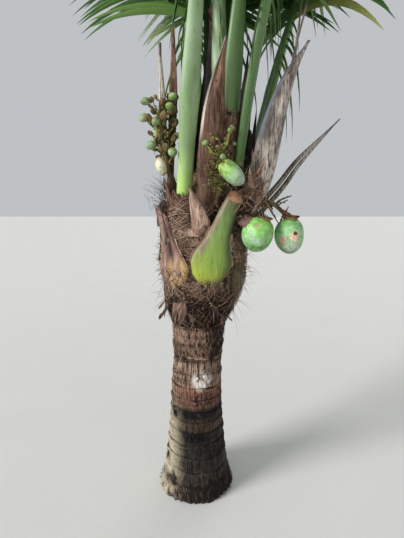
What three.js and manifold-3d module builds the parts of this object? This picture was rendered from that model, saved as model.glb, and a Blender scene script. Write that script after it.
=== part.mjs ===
// A coconut palm with a short ringed trunk, old leaf bases, dry bracts, nut bunches and a crown of arching fronds.
// Millimetres and degrees. X is to the right, Y to the back and Z up, and the origin is the middle of the flat cut
// at ground level. A heading runs from +X towards +Y, so the front is at -90.
import * as THREE from "three";
import { mergeVertices } from "three/addons/utils/BufferGeometryUtils.js";
import Module from "manifold-3d";

const { Vector2, Vector3 } = THREE;
const wasm = await Module();
wasm.setup();

// Clearance between neighbouring pieces, and the wider one that leaflets keep
const GAP = 0.5;
const LEAF_GAP = 3;
const SEED = 7;

// The stem leans: its axis has drifted this far to +X at that height
const LEAN = { drift: 80, height: 1500 };

// The rings end at these levels, each in a lip, and the last is the trunk's top
const TRUNK = {
  neck: 112, flare: 72, flareFade: 260, sides: 18, ringLip: 5, lobes: 5, lobeDepth: 0.025, lobeFade: 110,
  rings: [70, 140, 210, 275, 335, 390, 440, 500, 560, 625, 695, 770, 860], swell: 11, swellFrom: 690,
};

// Height and radius of the wrapped heart of the crown, from the trunk's top to its own
const HEART = {
  sides: 18,
  profile: [
    [860, 126], [905, 140], [950, 162], [1020, 174], [1120, 174],
    [1220, 164], [1340, 150], [1460, 134], [1560, 108], [1610, 70],
  ],
};

// Fibre sheaths that stand out of the heart round the feet of its front and side leaves
const SHEATH = { sides: 10, bulge: 1.12 };
const SHEATHS = [
  { at: [-50, -82], from: 1180, to: 1458, radius: 64 },
  { at: [150, -70], from: 1180, to: 1490, radius: 58 },
  { at: [188, 86], from: 1040, to: 1250, radius: 56 },
  { at: [70, 140], from: 1160, to: 1400, radius: 70 },
  { at: [-44, 104], from: 1180, to: 1420, radius: 60 },
];

// Old leaf bases round the trunk's top. Each stands up from its level by its height, and its end has moved out from
// the stem and aside by those amounts.
const OLD_BASE = {
  width: 180, depth: 66, sides: 10, steps: 10, proud: -2,
  share: [
    [0, 0.3], [0.05, 0.6], [0.13, 0.86], [0.24, 1], [0.32, 0.96], [0.43, 0.74], [0.52, 0.58], [0.67, 0.46], [1, 0.36],
  ],
};
const OLD_BASES = [
  { name: "cut_petiole_front", heading: -80, level: 1070, height: 385, out: 45, aside: 104, end: [62, 46] },
  { name: "dead_base_left", heading: -133, level: 1050, height: 345, out: 26, aside: -62, end: [50, 16] },
  { name: "dead_base_right", heading: -28, level: 985, height: 300, out: 46, aside: 26, end: [52, 30] },
  { name: "cut_petiole_back_right", heading: 52, level: 1030, height: 330, out: 70, aside: -25, end: [60, 44] },
  { name: "dead_base_back", heading: 90, level: 1000, height: 290, out: 60, aside: 35, end: [54, 34] },
  { name: "cut_petiole_back_left", heading: 148, level: 1060, height: 350, out: 75, aside: -20, end: [62, 46] },
];

// Dry boat-shaped bracts and sheath scraps: the middle line from foot to tip, the widest section and its place
const BRACTS = [
  {
    name: "bract_middle", width: 104, depth: 44, wall: 9, widest: 0.42, facing: -80,
    line: [[52, -112, 1345], [60, -150, 1600], [84, -166, 1850], [123, -170, 2075]],
  },
  {
    name: "bract_right", width: 124, depth: 46, wall: 10, widest: 0.38, facing: -68,
    line: [
      [170, -66, 1290], [250, -112, 1450], [290, -132, 1580], [334, -150, 1790], [381, -160, 1930], [450, -170, 2062],
    ],
  },
  {
    name: "bract_far_right", width: 54, depth: 24, wall: 9, widest: 0.34, facing: -88,
    line: [[150, -34, 1235], [214, -70, 1318], [362, -100, 1488], [453, -100, 1610], [616, -100, 1780]],
  },
  {
    name: "bract_left", width: 62, depth: 30, wall: 8, widest: 0.4, facing: 190,
    line: [[-66, 14, 1330], [-104, -6, 1485], [-86, -20, 1880], [-90, -30, 2165]],
  },
  {
    name: "bract_left_dark", width: 38, depth: 20, wall: 8, widest: 0.5, facing: 215,
    line: [[-76, -40, 1395], [-128, -54, 1650], [-140, -54, 1900], [-148, -54, 2096]],
  },
  {
    name: "bract_back", width: 92, depth: 44, wall: 9, widest: 0.45, facing: 110,
    line: [[20, 142, 1330], [-20, 206, 1560], [-48, 250, 1800], [-60, 310, 2010]],
  },
  {
    name: "torn_sheath", width: 80, depth: 22, wall: 9, widest: 0.22, facing: -105,
    line: [[24, -144, 1276], [20, -178, 1360], [-4, -192, 1440], [-24, -196, 1502]],
  },
];

// Nut bunches: a stalk through points, branchlets by rule along its outer part with young nuts of that size, and
// nuts hung where they show. A nut is its middle, the way from its cap to its end, its length and its width.
const BUNCH = { stalk: 34, sides: 6, steps: 8, branchlet: 11 };
const BUNCHES = [
  {
    name: "nut_bunch_left", branchlets: 12, branchLength: 100, young: 40,
    line: [[-64, -36, 1420], [-112, -84, 1560], [-138, -98, 1700], [-146, -100, 1850]],
    nuts: [{ at: [-146, -96, 1585], way: [0.25, 0, -1], length: 84, width: 48 }],
  },
  {
    name: "nut_bunch_middle", branchlets: 7, branchLength: 110, young: 24,
    line: [[96, -128, 1430], [112, -176, 1530], [110, -206, 1620], [100, -214, 1690]],
    nuts: [{ at: [151, -214, 1551], way: [0.72, -0.1, -0.7], length: 132, width: 78 }],
  },
  {
    name: "nut_bunch_right", branchlets: 5, branchLength: 110, young: 0,
    line: [[150, -70, 1330], [236, -150, 1420], [320, -172, 1430], [404, -150, 1362]],
    nuts: [
      { at: [267, -190, 1297], way: [-0.25, 0, -1], length: 150, width: 134 },
      { at: [410, -150, 1288], way: [0.02, 0, -1], length: 158, width: 126 },
    ],
  },
  {
    name: "nut_bunch_back_right", branchlets: 5, branchLength: 120, young: 0,
    line: [[150, 90, 1330], [226, 176, 1430], [262, 232, 1440], [280, 262, 1385]],
    nuts: [
      { at: [212, 252, 1290], way: [-0.2, 0.1, -1], length: 152, width: 130 },
      { at: [330, 196, 1300], way: [0.2, 0, -1], length: 150, width: 126 },
      { at: [296, 318, 1300], way: [0.1, 0.3, -1], length: 146, width: 122 },
    ],
  },
  {
    name: "nut_bunch_back_left", branchlets: 6, branchLength: 90, young: 36,
    line: [[-20, 110, 1370], [-50, 200, 1470], [-62, 262, 1490], [-66, 302, 1450]],
    nuts: [
      { at: [-6, 316, 1366], way: [0.1, 0.2, -1], length: 128, width: 104 },
      { at: [-104, 280, 1372], way: [-0.1, 0.1, -1], length: 126, width: 102 },
    ],
  },
];

// Fronds, oldest first. Each stands on its foot, leaves at its lean from the vertical and bends by its arch towards
// the tip, while its heading veers. A broad one has a wider petiole, and its leaflets droop by that share.
const FROND = {
  steps: 40, petiole: 0.28, bladeStart: [46, 34], tip: [9, 7],
  petioleWidth: [[0, 64], [0.3, 66], [0.55, 78], [0.85, 56], [1, 46]],
  petioleDepth: [[0, 48], [0.3, 44], [0.8, 40], [1, 34]],
  leaflet: 860, leafletWidth: 74, leafletMiddle: 0.45, leafletTilt: [78, 34], splitLean: 62, splitFrom: 100,
};
const FRONDS = [
  { foot: [-60, -84, 1290], heading: -67, lean: 10, arch: 108, veer: -12, length: 3800, broad: 1.06, droop: 0.5 },
  { foot: [152, -86, 1300], heading: -24, lean: 7, arch: 112, veer: -16, length: 3900, broad: 0.88, droop: 0.5 },
  { foot: [190, 92, 1200], heading: 20, lean: 12, arch: 102, veer: 10, length: 4000, broad: 1, droop: 0.55 },
  { foot: [100, 138, 1330], heading: 66, lean: 9, arch: 112, veer: 14, length: 3850, broad: 0.9, droop: 0.5 },
  { foot: [30, 148, 1330], heading: 104, lean: 10, arch: 112, veer: -8, length: 3850, broad: 0.85, droop: 0.5 },
  { foot: [-44, 112, 1340], heading: 172, lean: -5, arch: 118, veer: -48, length: 3750, broad: 0.8, droop: 0.45 },
  { foot: [-44, 46, 1380], heading: 178, lean: -5, arch: 116, veer: -6, length: 3750, broad: 0.8, droop: 0.45 },
  { foot: [-44, -20, 1400], heading: 184, lean: -5, arch: 116, veer: 42, length: 3650, broad: 0.8, droop: 0.45 },
  { foot: [172, 26, 1450], heading: 4, lean: 7, arch: 92, veer: 14, length: 3600, broad: 0.85, droop: 0.35 },
  { foot: [104, -36, 1490], heading: -108, lean: -1, arch: 98, veer: -12, length: 3450, broad: 0.9, droop: 0.35 },
  { foot: [72, 72, 1510], heading: 118, lean: 0, arch: 92, veer: -10, length: 3350, broad: 0.85, droop: 0.3 },
  { foot: [140, -70, 1480], heading: -50, lean: 3, arch: 82, veer: 12, length: 3300, broad: 1.22, droop: 0.28 },
  { foot: [128, 66, 1530], heading: 44, lean: 2, arch: 62, veer: -16, length: 3050, broad: 0.8, droop: 0.25 },
  { foot: [50, 4, 1550], heading: -168, lean: -4, arch: 68, veer: 10, length: 2850, broad: 0.75, droop: 0.22 },
];
const SPEAR = { foot: [100, 16, 1560], length: 1950, lean: 2, heading: 60, width: 34, sides: 8 };

const COLOURS = {
  bark: 0x5b4636, fibre: 0x6f4f37, petiole: 0x7fa653, dead: 0x8a6a4e,
  leaf: 0x4f7a35, youngLeaf: 0x86a850, nut: 0x86b866,
};

const rad = THREE.MathUtils.degToRad;
const vector = (list) => new Vector3(...list);
const around = (heading, r) => new Vector3(r * Math.cos(rad(heading)), r * Math.sin(rad(heading)), 0);
const stemAt = (z) => new Vector3(LEAN.drift * (z / LEAN.height) ** 3, 0, z);
const mix = (a, b, t) => a + (b - a) * t;

// A repeatable source of numbers from 0 to 1
function seeded(seed) {
  let state = seed;
  return () => {
    state = (state * 1664525 + 1013904223) % 4294967296;
    return state / 4294967296;
  };
}

// The value at x on straight lines through [x, value] pairs
function onLine(pairs, x) {
  const after = pairs.findIndex(([at]) => at >= x);
  if (after < 0) return pairs.at(-1)[1];
  if (after === 0) return pairs[0][1];
  const [[x0, v0], [x1, v1]] = [pairs[after - 1], pairs[after]];
  return mix(v0, v1, (x - x0) / (x1 - x0));
}
const heartRadius = (z) => onLine(HEART.profile, z);

// Solids

function solidFrom(points, faces) {
  const vertProperties = new Float32Array(points.flatMap((p) => [p.x, p.y, p.z]));
  return new wasm.Manifold(new wasm.Mesh({ numProp: 3, vertProperties, triVerts: new Uint32Array(faces.flat()) }));
}

function solidOfGeometry(geometry) {
  const plain = geometry.clone();
  plain.deleteAttribute("normal");
  plain.deleteAttribute("uv");
  const merged = mergeVertices(plain, 1e-3);
  return new wasm.Manifold(new wasm.Mesh({
    numProp: 3, vertProperties: merged.attributes.position.array, triVerts: new Uint32Array(merged.index.array),
  }));
}

function geometryOfSolid(solid) {
  const mesh = solid.getMesh();
  return new THREE.BufferGeometry()
    .setAttribute("position", new THREE.BufferAttribute(mesh.vertProperties, 3))
    .setIndex(new THREE.BufferAttribute(mesh.triVerts, 1))
    .toNonIndexed();
}

// The triangles of a flat outline, each turned the way the outline runs
function lid(outline) {
  const turn = ([a, b, c]) =>
    (outline[b].x - outline[a].x) * (outline[c].y - outline[a].y) -
    (outline[b].y - outline[a].y) * (outline[c].x - outline[a].x);
  return THREE.ShapeUtils.triangulateShape(outline, []).map((t) => (turn(t) > 0 ? t : [t[0], t[2], t[1]]));
}

// A closed skin over stations. Each has a point, its x and y directions, and an outline that runs from x towards y.
function loft(stations) {
  const count = stations[0].outline.length;
  const points = stations.flatMap(({ at, x, y, outline }) =>
    outline.map((p) => at.clone().addScaledVector(x, p.x).addScaledVector(y, p.y)));
  const faces = [];
  for (let s = 0; s + 1 < stations.length; s++) {
    for (let i = 0; i < count; i++) {
      const [a, b] = [s * count + i, s * count + (i + 1) % count];
      faces.push([a, b, b + count], [a, b + count, a + count]);
    }
  }
  const last = (stations.length - 1) * count;
  faces.push(...lid(stations[0].outline).map(([a, b, c]) => [a, c, b]));
  faces.push(...lid(stations.at(-1).outline).map(([a, b, c]) => [last + a, last + b, last + c]));
  return solidFrom(points, faces);
}

// Stations along a smooth line, with y kept on the side that faces the given way
function stationsAlong(line, facing, steps, outlineAt) {
  const curve = new THREE.CatmullRomCurve3(line, false, "centripetal");
  return Array.from({ length: steps + 1 }, (_, i) => {
    const along = curve.getTangentAt(i / steps);
    const y = facing.clone().addScaledVector(along, -facing.dot(along)).normalize();
    return { at: curve.getPointAt(i / steps), x: y.clone().cross(along), y, outline: outlineAt(i / steps) };
  });
}

// Outlines

const oval = (width, depth, sides) => Array.from({ length: sides }, (_, i) => {
  const turn = (2 * Math.PI * i) / sides;
  return new Vector2((width / 2) * Math.cos(turn), (depth / 2) * Math.sin(turn));
});

// A petiole: round on its back, which is +y, and a shallow channel in front
function petioleOutline(width, depth) {
  const back = [0, 45, 90, 135, 180].map((turn) =>
    new Vector2((width / 2) * Math.cos(rad(turn)), 0.6 * depth * Math.sin(rad(turn))));
  const channel = [[-0.36, -0.4], [0, -0.26], [0.36, -0.4]].map(([x, y]) => new Vector2(x * width, y * depth));
  return [...back, ...channel];
}

// The midrib past the petiole: a ridge in front, which is -y, and a flat back
const ribOutline = (width, depth) =>
  [new Vector2(0, -depth / 2), new Vector2(width / 2, depth / 2), new Vector2(-width / 2, depth / 2)];

// A bract: a keeled boat with its keel on +y
function boatOutline(width, depth, wall, grow) {
  const outer = [[0.5, 0], [0.4, 0.45], [0.2, 0.85], [0, 1], [-0.2, 0.85], [-0.4, 0.45], [-0.5, 0]]
    .map(([x, y]) => new Vector2(x * (width + 2 * grow), y * (depth + 2 * grow) - grow));
  const inner = [[-0.3, 0.3], [0, 0.75], [0.3, 0.3]].map(([x, y]) =>
    new Vector2(x * (width - 2 * grow), Math.min(y * depth, depth - wall) - grow));
  return [...outer, ...inner];
}

// Stem

// The stem flares to the ground and swells again under the crown
function trunkRadius(z) {
  const swell = THREE.MathUtils.smoothstep(z, TRUNK.swellFrom, TRUNK.rings.at(-1));
  return TRUNK.neck + TRUNK.flare * Math.exp(-z / TRUNK.flareFade) + TRUNK.swell * swell;
}

// Each ring of the trunk widens to a lip at its top, and the next one starts back in over it
function trunk() {
  const levels = TRUNK.rings.flatMap((top, i) => {
    const bottom = i ? TRUNK.rings[i - 1] : 0;
    return [{ z: bottom, lip: -TRUNK.ringLip / 2 }, { z: mix(bottom, top, 0.86), lip: TRUNK.ringLip / 2 }];
  });
  levels.push({ z: TRUNK.rings.at(-1), lip: -TRUNK.ringLip / 2 });
  return loft(levels.map(({ z, lip }) => ({
    at: stemAt(z), x: new Vector3(1, 0, 0), y: new Vector3(0, 1, 0),
    outline: oval(2, 2, TRUNK.sides).map((p) => {
      const lobe = TRUNK.lobeDepth * Math.exp(-z / TRUNK.lobeFade) * Math.cos(TRUNK.lobes * p.angle());
      return p.multiplyScalar((trunkRadius(z) + lip) * (1 + lobe));
    }),
  })));
}

// The heart with its sheaths
function heart(grow = 0) {
  const flat = { x: new Vector3(1, 0, 0), y: new Vector3(0, 1, 0) };
  const [bottom, top] = [HEART.profile[0][0], HEART.profile.at(-1)[0]];
  const core = loft(HEART.profile.map(([z, r]) => {
    const level = z === bottom ? z + GAP - grow : z === top ? z + grow : z;
    return { ...flat, at: stemAt(level), outline: oval(2 * (r + grow), 2 * (r + grow), HEART.sides) };
  }));
  const sheaths = SHEATHS.map(({ at, from, to, radius }) =>
    loft([[from, 1], [mix(from, to, 0.7), SHEATH.bulge], [to + grow, 1]].map(([z, share]) => {
      const wide = 2 * (radius * share + grow);
      return { ...flat, at: new Vector3(...at, z), outline: oval(wide, wide, SHEATH.sides) };
    })));
  return wasm.Manifold.union([core, ...sheaths]);
}

// Leaf bases, bracts and bunches

// The base is a wide rounded shield low down and narrows to a stalk, which ends in a flat cut
function oldBase({ heading, level, height, out, aside, end }, grow = 0) {
  const { width, depth, sides, steps, proud, share } = OLD_BASE;
  const foot = stemAt(level);
  const sideways = around(heading + 90, 1);
  const line = [0, 0.25, 0.5, 0.75, 1].map((t) => foot.clone()
    .add(around(heading, heartRadius(level) + proud + out * t ** 1.5))
    .addScaledVector(sideways, aside * t ** 1.7)
    .add(new Vector3(0, 0, height * t)));
  const fullWidth = (t) => width * onLine(share, t) * mix(1, end[0] / (share.at(-1)[1] * width), t);
  const fullDepth = (t) => mix(depth, end[1], t) * Math.min(1, 0.55 + 3 * t);
  return loft(stationsAlong(line, around(heading, 1), steps, (t) =>
    oval(fullWidth(t) + 2 * grow, fullDepth(t) + 2 * grow, sides)));
}

function bract({ line, facing, width, depth, wall, widest }, grow = 0) {
  return loft(stationsAlong(line.map(vector), around(facing, 1), 8, (t) => {
    const swell = Math.max(0.1, Math.sin((Math.PI / 2) * Math.min(t / widest, (1 - t) / (1 - widest))));
    return boatOutline(width * (t < widest ? mix(0.55, 1, swell) : swell), depth * mix(0.35, 1, swell), wall, grow);
  }));
}

// A nut, widest nearer its cap, with its faint ridges left to the finish
function nut({ at, way, length, width }, grow) {
  const profile = [[0, 0], [0.3, 0.06], [0.42, 0.22], [0.5, 0.46], [0.45, 0.7], [0.28, 0.9], [0, 1]]
    .map(([r, along]) => new Vector2(r * (width + 2 * grow), (0.5 - along) * (length + 2 * grow))).reverse();
  const turn = new THREE.Quaternion().setFromUnitVectors(new Vector3(0, -1, 0), vector(way).normalize());
  return new THREE.LatheGeometry(profile, 9).applyQuaternion(turn).translate(...at);
}

function twig(from, to, thick, thin) {
  const facing = new Vector3(0.3, 1, 0.2).cross(to.clone().sub(from)).normalize();
  return loft(stationsAlong([from, to], facing, 1, (t) => oval(mix(thick, thin, t), mix(thick, thin, t), 3)));
}

// A stalk with branchlets set round it by the golden angle. A young bunch carries a small nut at each branchlet's end,
// and each listed nut hangs from the stalk on a twig of its own.
function bunch({ line, branchlets, branchLength, young, nuts }, grow = 0) {
  const random = seeded(SEED);
  const points = line.map(vector);
  const stalk = stationsAlong(points, new Vector3(0.2, -1, 0.3).normalize(), BUNCH.steps, (t) => {
    const thick = BUNCH.stalk * (1 - 0.6 * t) + 2 * grow;
    return oval(thick, thick, BUNCH.sides);
  });
  const curve = new THREE.CatmullRomCurve3(points, false, "centripetal");
  const pieces = [loft(stalk)];
  for (let i = 0; i < branchlets; i++) {
    const t = mix(0.42, 0.97, i / branchlets);
    const along = curve.getTangentAt(t);
    const outward = new Vector3(0, 0, 1).cross(along).normalize().applyAxisAngle(along, rad(137.5 * i));
    const way = outward.addScaledVector(along, 0.7).add(new Vector3(0, 0, 0.15)).normalize();
    const from = curve.getPointAt(t);
    const to = from.clone().addScaledVector(way, branchLength * mix(0.75, 1.1, random()));
    pieces.push(twig(from, to, BUNCH.branchlet + 2 * grow, 5 + 2 * grow));
    if (young) {
      const size = young * mix(0.7, 1.1, random()) + 2 * grow;
      pieces.push(solidOfGeometry(new THREE.SphereGeometry(size / 2, 5, 3).translate(to.x, to.y, to.z)));
    }
  }
  for (const fruit of nuts) {
    const cap = vector(fruit.at).addScaledVector(vector(fruit.way).normalize(), -0.42 * fruit.length);
    const nearest = [0.5, 0.6, 0.7, 0.8, 0.9, 0.97].map((t) => curve.getPointAt(t))
      .reduce((best, p) => (p.distanceTo(cap) < best.distanceTo(cap) ? p : best));
    pieces.push(twig(nearest, cap, 16 + 2 * grow, 12 + 2 * grow), solidOfGeometry(nut(fruit, grow)));
  }
  return wasm.Manifold.union(pieces);
}

// Fronds

// The frond's line by its rule: even steps, whose lean grows with the square of the way along
function frondLine({ foot, heading, lean, arch, veer, length }) {
  const at = vector(foot);
  return Array.from({ length: FROND.steps + 1 }, (_, i) => {
    const t = i / FROND.steps;
    const tilt = rad(lean + arch * t * t);
    const out = around(heading + veer * t, 1);
    const along = out.clone().multiplyScalar(Math.sin(tilt)).add(new Vector3(0, 0, Math.cos(tilt)));
    const y = out.clone().multiplyScalar(Math.cos(tilt)).add(new Vector3(0, 0, -Math.sin(tilt)));
    const station = { at: at.clone(), along, y, x: y.clone().cross(along), t };
    at.addScaledVector(along, length / FROND.steps);
    return station;
  });
}

const bladeStep = Math.round(FROND.petiole * FROND.steps);

// The petiole is broadest half-way up and narrower where the blade starts
function petiole(stations, { broad }, grow = 0) {
  const size = (t) => [FROND.petioleWidth, FROND.petioleDepth].map((pairs) =>
    onLine(pairs, t) * mix(broad, 1, t ** 4) + 2 * grow);
  const kept = [0, 1, 2, 4, 6, 9, bladeStep];
  return loft(kept.map((step) => ({ ...stations[step], outline: petioleOutline(...size(step / bladeStep)) })));
}

const bladeShare = (t) => (t - FROND.petiole) / (1 - FROND.petiole);
const ribSize = (t) => [0, 1].map((axis) => mix(FROND.bladeStart[axis] - 3, FROND.tip[axis], bladeShare(t)));
const leafletShape = (share) => Math.sin(Math.PI * mix(0.18, 0.9, share)) ** 0.8;

// A leaflet stands on one side face of the rib, between two rings. It is that face's four corners, a ring of four at
// its widest and its tip. The corners run round the face as seen from outside.
function leaflet(stations, step, hand, frond, reach, extra = 0) {
  const [near, far] = [stations[step], stations[step + 1]];
  const share = Math.min(1, bladeShare(near.t));
  const length = FROND.leaflet * leafletShape(share) * reach * (frond.length / FRONDS[0].length);
  const tilt = rad(mix(...FROND.leafletTilt, share));
  const corner = (station, i) => {
    const p = ribOutline(...ribSize(station.t))[i];
    return station.at.clone().addScaledVector(station.x, p.x).addScaledVector(station.y, p.y);
  };
  const edge = hand > 0 ? [0, 1] : [2, 0];
  const base = [corner(near, edge[0]), corner(near, edge[1]), corner(far, edge[1]), corner(far, edge[0])];
  const root = base.reduce((sum, p) => sum.add(p.clone().multiplyScalar(0.25)), new Vector3());
  const start = near.x.clone().multiplyScalar(hand * Math.sin(tilt)).addScaledVector(near.along, Math.cos(tilt));
  const pathAt = (u) => root.clone().addScaledVector(start, length * u)
    .add(new Vector3(0, 0, -length * frond.droop * u * u));
  const way = start.clone().add(new Vector3(0, 0, -2 * frond.droop * FROND.leafletMiddle)).normalize();
  const across = near.along.clone().addScaledVector(way, -near.along.dot(way)).normalize();
  const upper = way.clone().cross(across).multiplyScalar(hand);
  const halfWidth = (FROND.leafletWidth * mix(1, 0.6, share)) / 2 + extra;
  const halfThick = length / 200 + 0.5 + extra;
  const signs = hand > 0 ? [[-1, 1], [-1, -1], [1, -1], [1, 1]] : [[-1, -1], [-1, 1], [1, 1], [1, -1]];
  const middle = signs.map(([w, n]) => pathAt(FROND.leafletMiddle)
    .addScaledVector(across, w * halfWidth).addScaledVector(upper, n * halfThick));
  return { base, middle, tip: pathAt(1) };
}

// The faces of a leaflet whose base, middle and tip are at these places in a list of points
const leafletFaces = (base, middle, tip) => base.flatMap((a, i) => {
  const j = (i + 1) % 4;
  return [[a, base[j], middle[j]], [a, middle[j], middle[i]], [middle[i], middle[j], tip]];
});

function leafletSolid({ base, middle, tip }) {
  const faces = leafletFaces([0, 1, 2, 3], [4, 5, 6, 7], 8);
  return solidFrom([...base, ...middle, tip], [...faces, [0, 2, 1], [0, 3, 2]]);
}

// The rib from one step to another, with a leaflet grown out of each side face that has one
function blade(stations, first, last, leaflets) {
  const points = [];
  const faces = [];
  for (let k = first; k <= last; k++) {
    const { at, x, y, t } = stations[k];
    points.push(...ribOutline(...ribSize(t)).map((p) => at.clone().addScaledVector(x, p.x).addScaledVector(y, p.y)));
  }
  for (let k = first; k < last; k++) {
    const ring = 3 * (k - first);
    for (const [i, j] of [[0, 1], [1, 2], [2, 0]]) {
      const quad = [ring + i, ring + j, ring + 3 + j, ring + 3 + i];
      const hand = i === 0 ? 1 : i === 2 ? -1 : 0;
      const leaf = hand && leaflets.get(`${k} ${hand}`);
      if (leaf) {
        const middle = leaf.middle.map((_, n) => points.length + n);
        faces.push(...leafletFaces(quad, middle, points.length + 4));
        points.push(...leaf.middle, leaf.tip);
      } else {
        faces.push([quad[0], quad[1], quad[2]], [quad[0], quad[2], quad[3]]);
      }
    }
  }
  const end = 3 * (last - first);
  return solidFrom(points, [[0, 2, 1], ...faces, [end, end + 1, end + 2]]);
}

const boxesMeet = (a, b) => [0, 1, 2].every((i) => a.min[i] <= b.max[i] && b.min[i] <= a.max[i]);

// Solids with their boxes, asked whether a new solid touches any of them
class Crowd {
  members = [];
  add(solid) {
    this.members.push({ solid, box: solid.boundingBox() });
  }
  touches(solid) {
    const box = solid.boundingBox();
    return this.members.some((m) => boxesMeet(m.box, box) && !m.solid.intersect(solid).isEmpty());
  }
}

// Leaflets alternate from side to side. One that would touch its neighbours is made shorter, or left out.
function growLeaflets(frond, stations, others) {
  const leaflets = new Map();
  const reserved = [];
  for (let k = bladeStep; k < FROND.steps; k++) {
    const hand = k % 2 ? 1 : -1;
    const padded = (reach) => leafletSolid(leaflet(stations, k, hand, frond, reach, LEAF_GAP));
    const reach = [1, 0.72, 0.46].find((share) => !others.touches(padded(share)));
    if (reach) {
      leaflets.set(`${k} ${hand}`, leaflet(stations, k, hand, frond, reach));
      reserved.push(padded(reach));
    }
  }
  return { leaflets, reserved };
}

// The unopened leaf in the middle of the crown
function spear(grow = 0) {
  const tilt = around(SPEAR.heading, Math.sin(rad(SPEAR.lean)));
  const way = new Vector3(tilt.x, tilt.y, Math.cos(rad(SPEAR.lean)));
  const line = [0, 0.5, 1].map((t) => vector(SPEAR.foot).addScaledVector(way, SPEAR.length * t));
  const size = (t) => SPEAR.width * onLine([[0, 1.1], [0.25, 1], [0.7, 0.7], [1, 0.14]], t) + 2 * grow;
  return loft(stationsAlong(line, new Vector3(0, -1, 0), 6, (t) => oval(size(t), size(t), SPEAR.sides)));
}

// The palm

const palm = new THREE.Group();

function addMesh(name, solid, colour, roughness = 0.8) {
  const largest = solid.decompose().reduce((best, s) => (s.volume() > best.volume() ? s : best));
  const material = new THREE.MeshStandardMaterial({ color: colour, roughness, metalness: 0 });
  const mesh = new THREE.Mesh(geometryOfSolid(largest), material);
  mesh.name = name;
  palm.add(mesh);
  return largest;
}

// What is kept clear of, each a little larger than it is, and what the leaflets must not touch
const kept = [heart(GAP)];
const crowd = new Crowd();
const clearOf = (solid) => kept.reduce((rest, other) => rest.subtract(other), solid);

crowd.add(addMesh("trunk", trunk(), COLOURS.bark, 0.95));
crowd.add(addMesh("crown_heart", heart(), COLOURS.fibre, 0.95));

kept.push(spear(GAP));
crowd.add(addMesh("spear_leaf", spear().subtract(kept[0]), COLOURS.youngLeaf, 0.6));

// Youngest fronds first, so that an older one gives way to those inside it
const fronds = FRONDS.map((spec, i) => ({ spec, name: `frond_${String(i + 1).padStart(2, "0")}` })).reverse();
for (const frond of fronds) {
  frond.stations = frondLine(frond.spec);
  frond.petiole = clearOf(petiole(frond.stations, frond.spec));
  frond.rib = blade(frond.stations, bladeStep - 1, FROND.steps, new Map());
  kept.push(petiole(frond.stations, frond.spec, GAP));
}

for (const spec of OLD_BASES) {
  const colour = spec.name.startsWith("cut") ? COLOURS.petiole : COLOURS.dead;
  crowd.add(addMesh(spec.name, clearOf(oldBase(spec)), colour));
  kept.push(oldBase(spec, GAP));
}

const dressing = [
  ...BRACTS.map((spec) => ({ spec, shape: bract, colour: COLOURS.dead })),
  ...BUNCHES.map((spec) => ({ spec, shape: bunch, colour: COLOURS.nut })),
];
for (const { spec, shape, colour } of dressing) {
  crowd.add(addMesh(spec.name, clearOf(shape(spec)), colour));
  kept.push(shape(spec, GAP));
}

for (const frond of fronds) {
  const { spec, name, stations } = frond;
  const others = new Crowd();
  others.members = [...crowd.members];
  for (const other of fronds) {
    if (other !== frond) [other.petiole, other.rib].forEach((solid) => others.add(solid));
  }
  const { leaflets, reserved } = growLeaflets(spec, stations, others);
  reserved.forEach((solid) => crowd.add(solid));

  // One that bends far enough over is split where it passes the split lean
  const parted = spec.lean + spec.arch > FROND.splitFrom;
  const bend = stations.findIndex(({ t }) => spec.lean + spec.arch * t * t > FROND.splitLean);
  const end = parted ? bend : FROND.steps;
  addMesh(name, frond.petiole.add(blade(stations, bladeStep - 1, end, leaflets)), COLOURS.leaf);
  if (parted) {
    const outer = [...stations];
    outer[bend] = { ...stations[bend], at: stations[bend].at.clone().addScaledVector(stations[bend].along, GAP) };
    addMesh(`${name}_tip`, blade(outer, bend, FROND.steps, leaflets), COLOURS.leaf);
  }
}

export default palm;
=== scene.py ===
# A young bearing coconut palm: ringed trunk, fibre-wrapped crown heart, leaf bases, bracts, nuts and arching fronds.
# The tables hold millimetres and degrees, by the same rules as the part's solids, and what is built is in metres.
# A heading runs from +X towards +Y. X is to the right of the view, Y away from it and Z up. Colours are 8-bit sRGB.
import math

import bpy
import numpy as np
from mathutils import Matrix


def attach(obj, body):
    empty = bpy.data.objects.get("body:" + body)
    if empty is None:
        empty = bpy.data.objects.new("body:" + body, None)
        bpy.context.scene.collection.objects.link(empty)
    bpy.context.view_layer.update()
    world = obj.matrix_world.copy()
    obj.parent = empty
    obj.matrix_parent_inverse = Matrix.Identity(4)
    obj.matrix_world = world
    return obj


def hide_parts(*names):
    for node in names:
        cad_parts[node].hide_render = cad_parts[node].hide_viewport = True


MM = 0.001
SEED = 7
# How many units the noise runs for before it repeats
CELLS = 32


def table(keys, *rows):
    """Rows of values as dictionaries, under the keys in a line of words."""
    return [dict(zip(keys.split(), row)) for row in rows]


LEAN = {"drift": 80, "height": 1500}

TRUNK = {
    "neck": 112, "flare": 72, "flare_fade": 260, "swell": 11, "swell_from": 690,
    "lobes": 5, "lobe_depth": 0.025, "lobe_fade": 110, "columns": 224, "rows": 440,
    "rings": [70, 140, 210, 275, 335, 390, 440, 500, 560, 625, 695, 770, 860],
}
# The level whose ring above it stands out over the one below
LEDGE = 695
# How high or deep each kind of relief on the bark is, in metres
RELIEF = {
    "lip": 0.0045, "groove": 0.0065, "ledge": 0.008, "gap": 0.006,
    "fissure": 0.0028, "line": 0.0022, "grain": 0.0021, "knob": 0.007,
}
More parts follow.
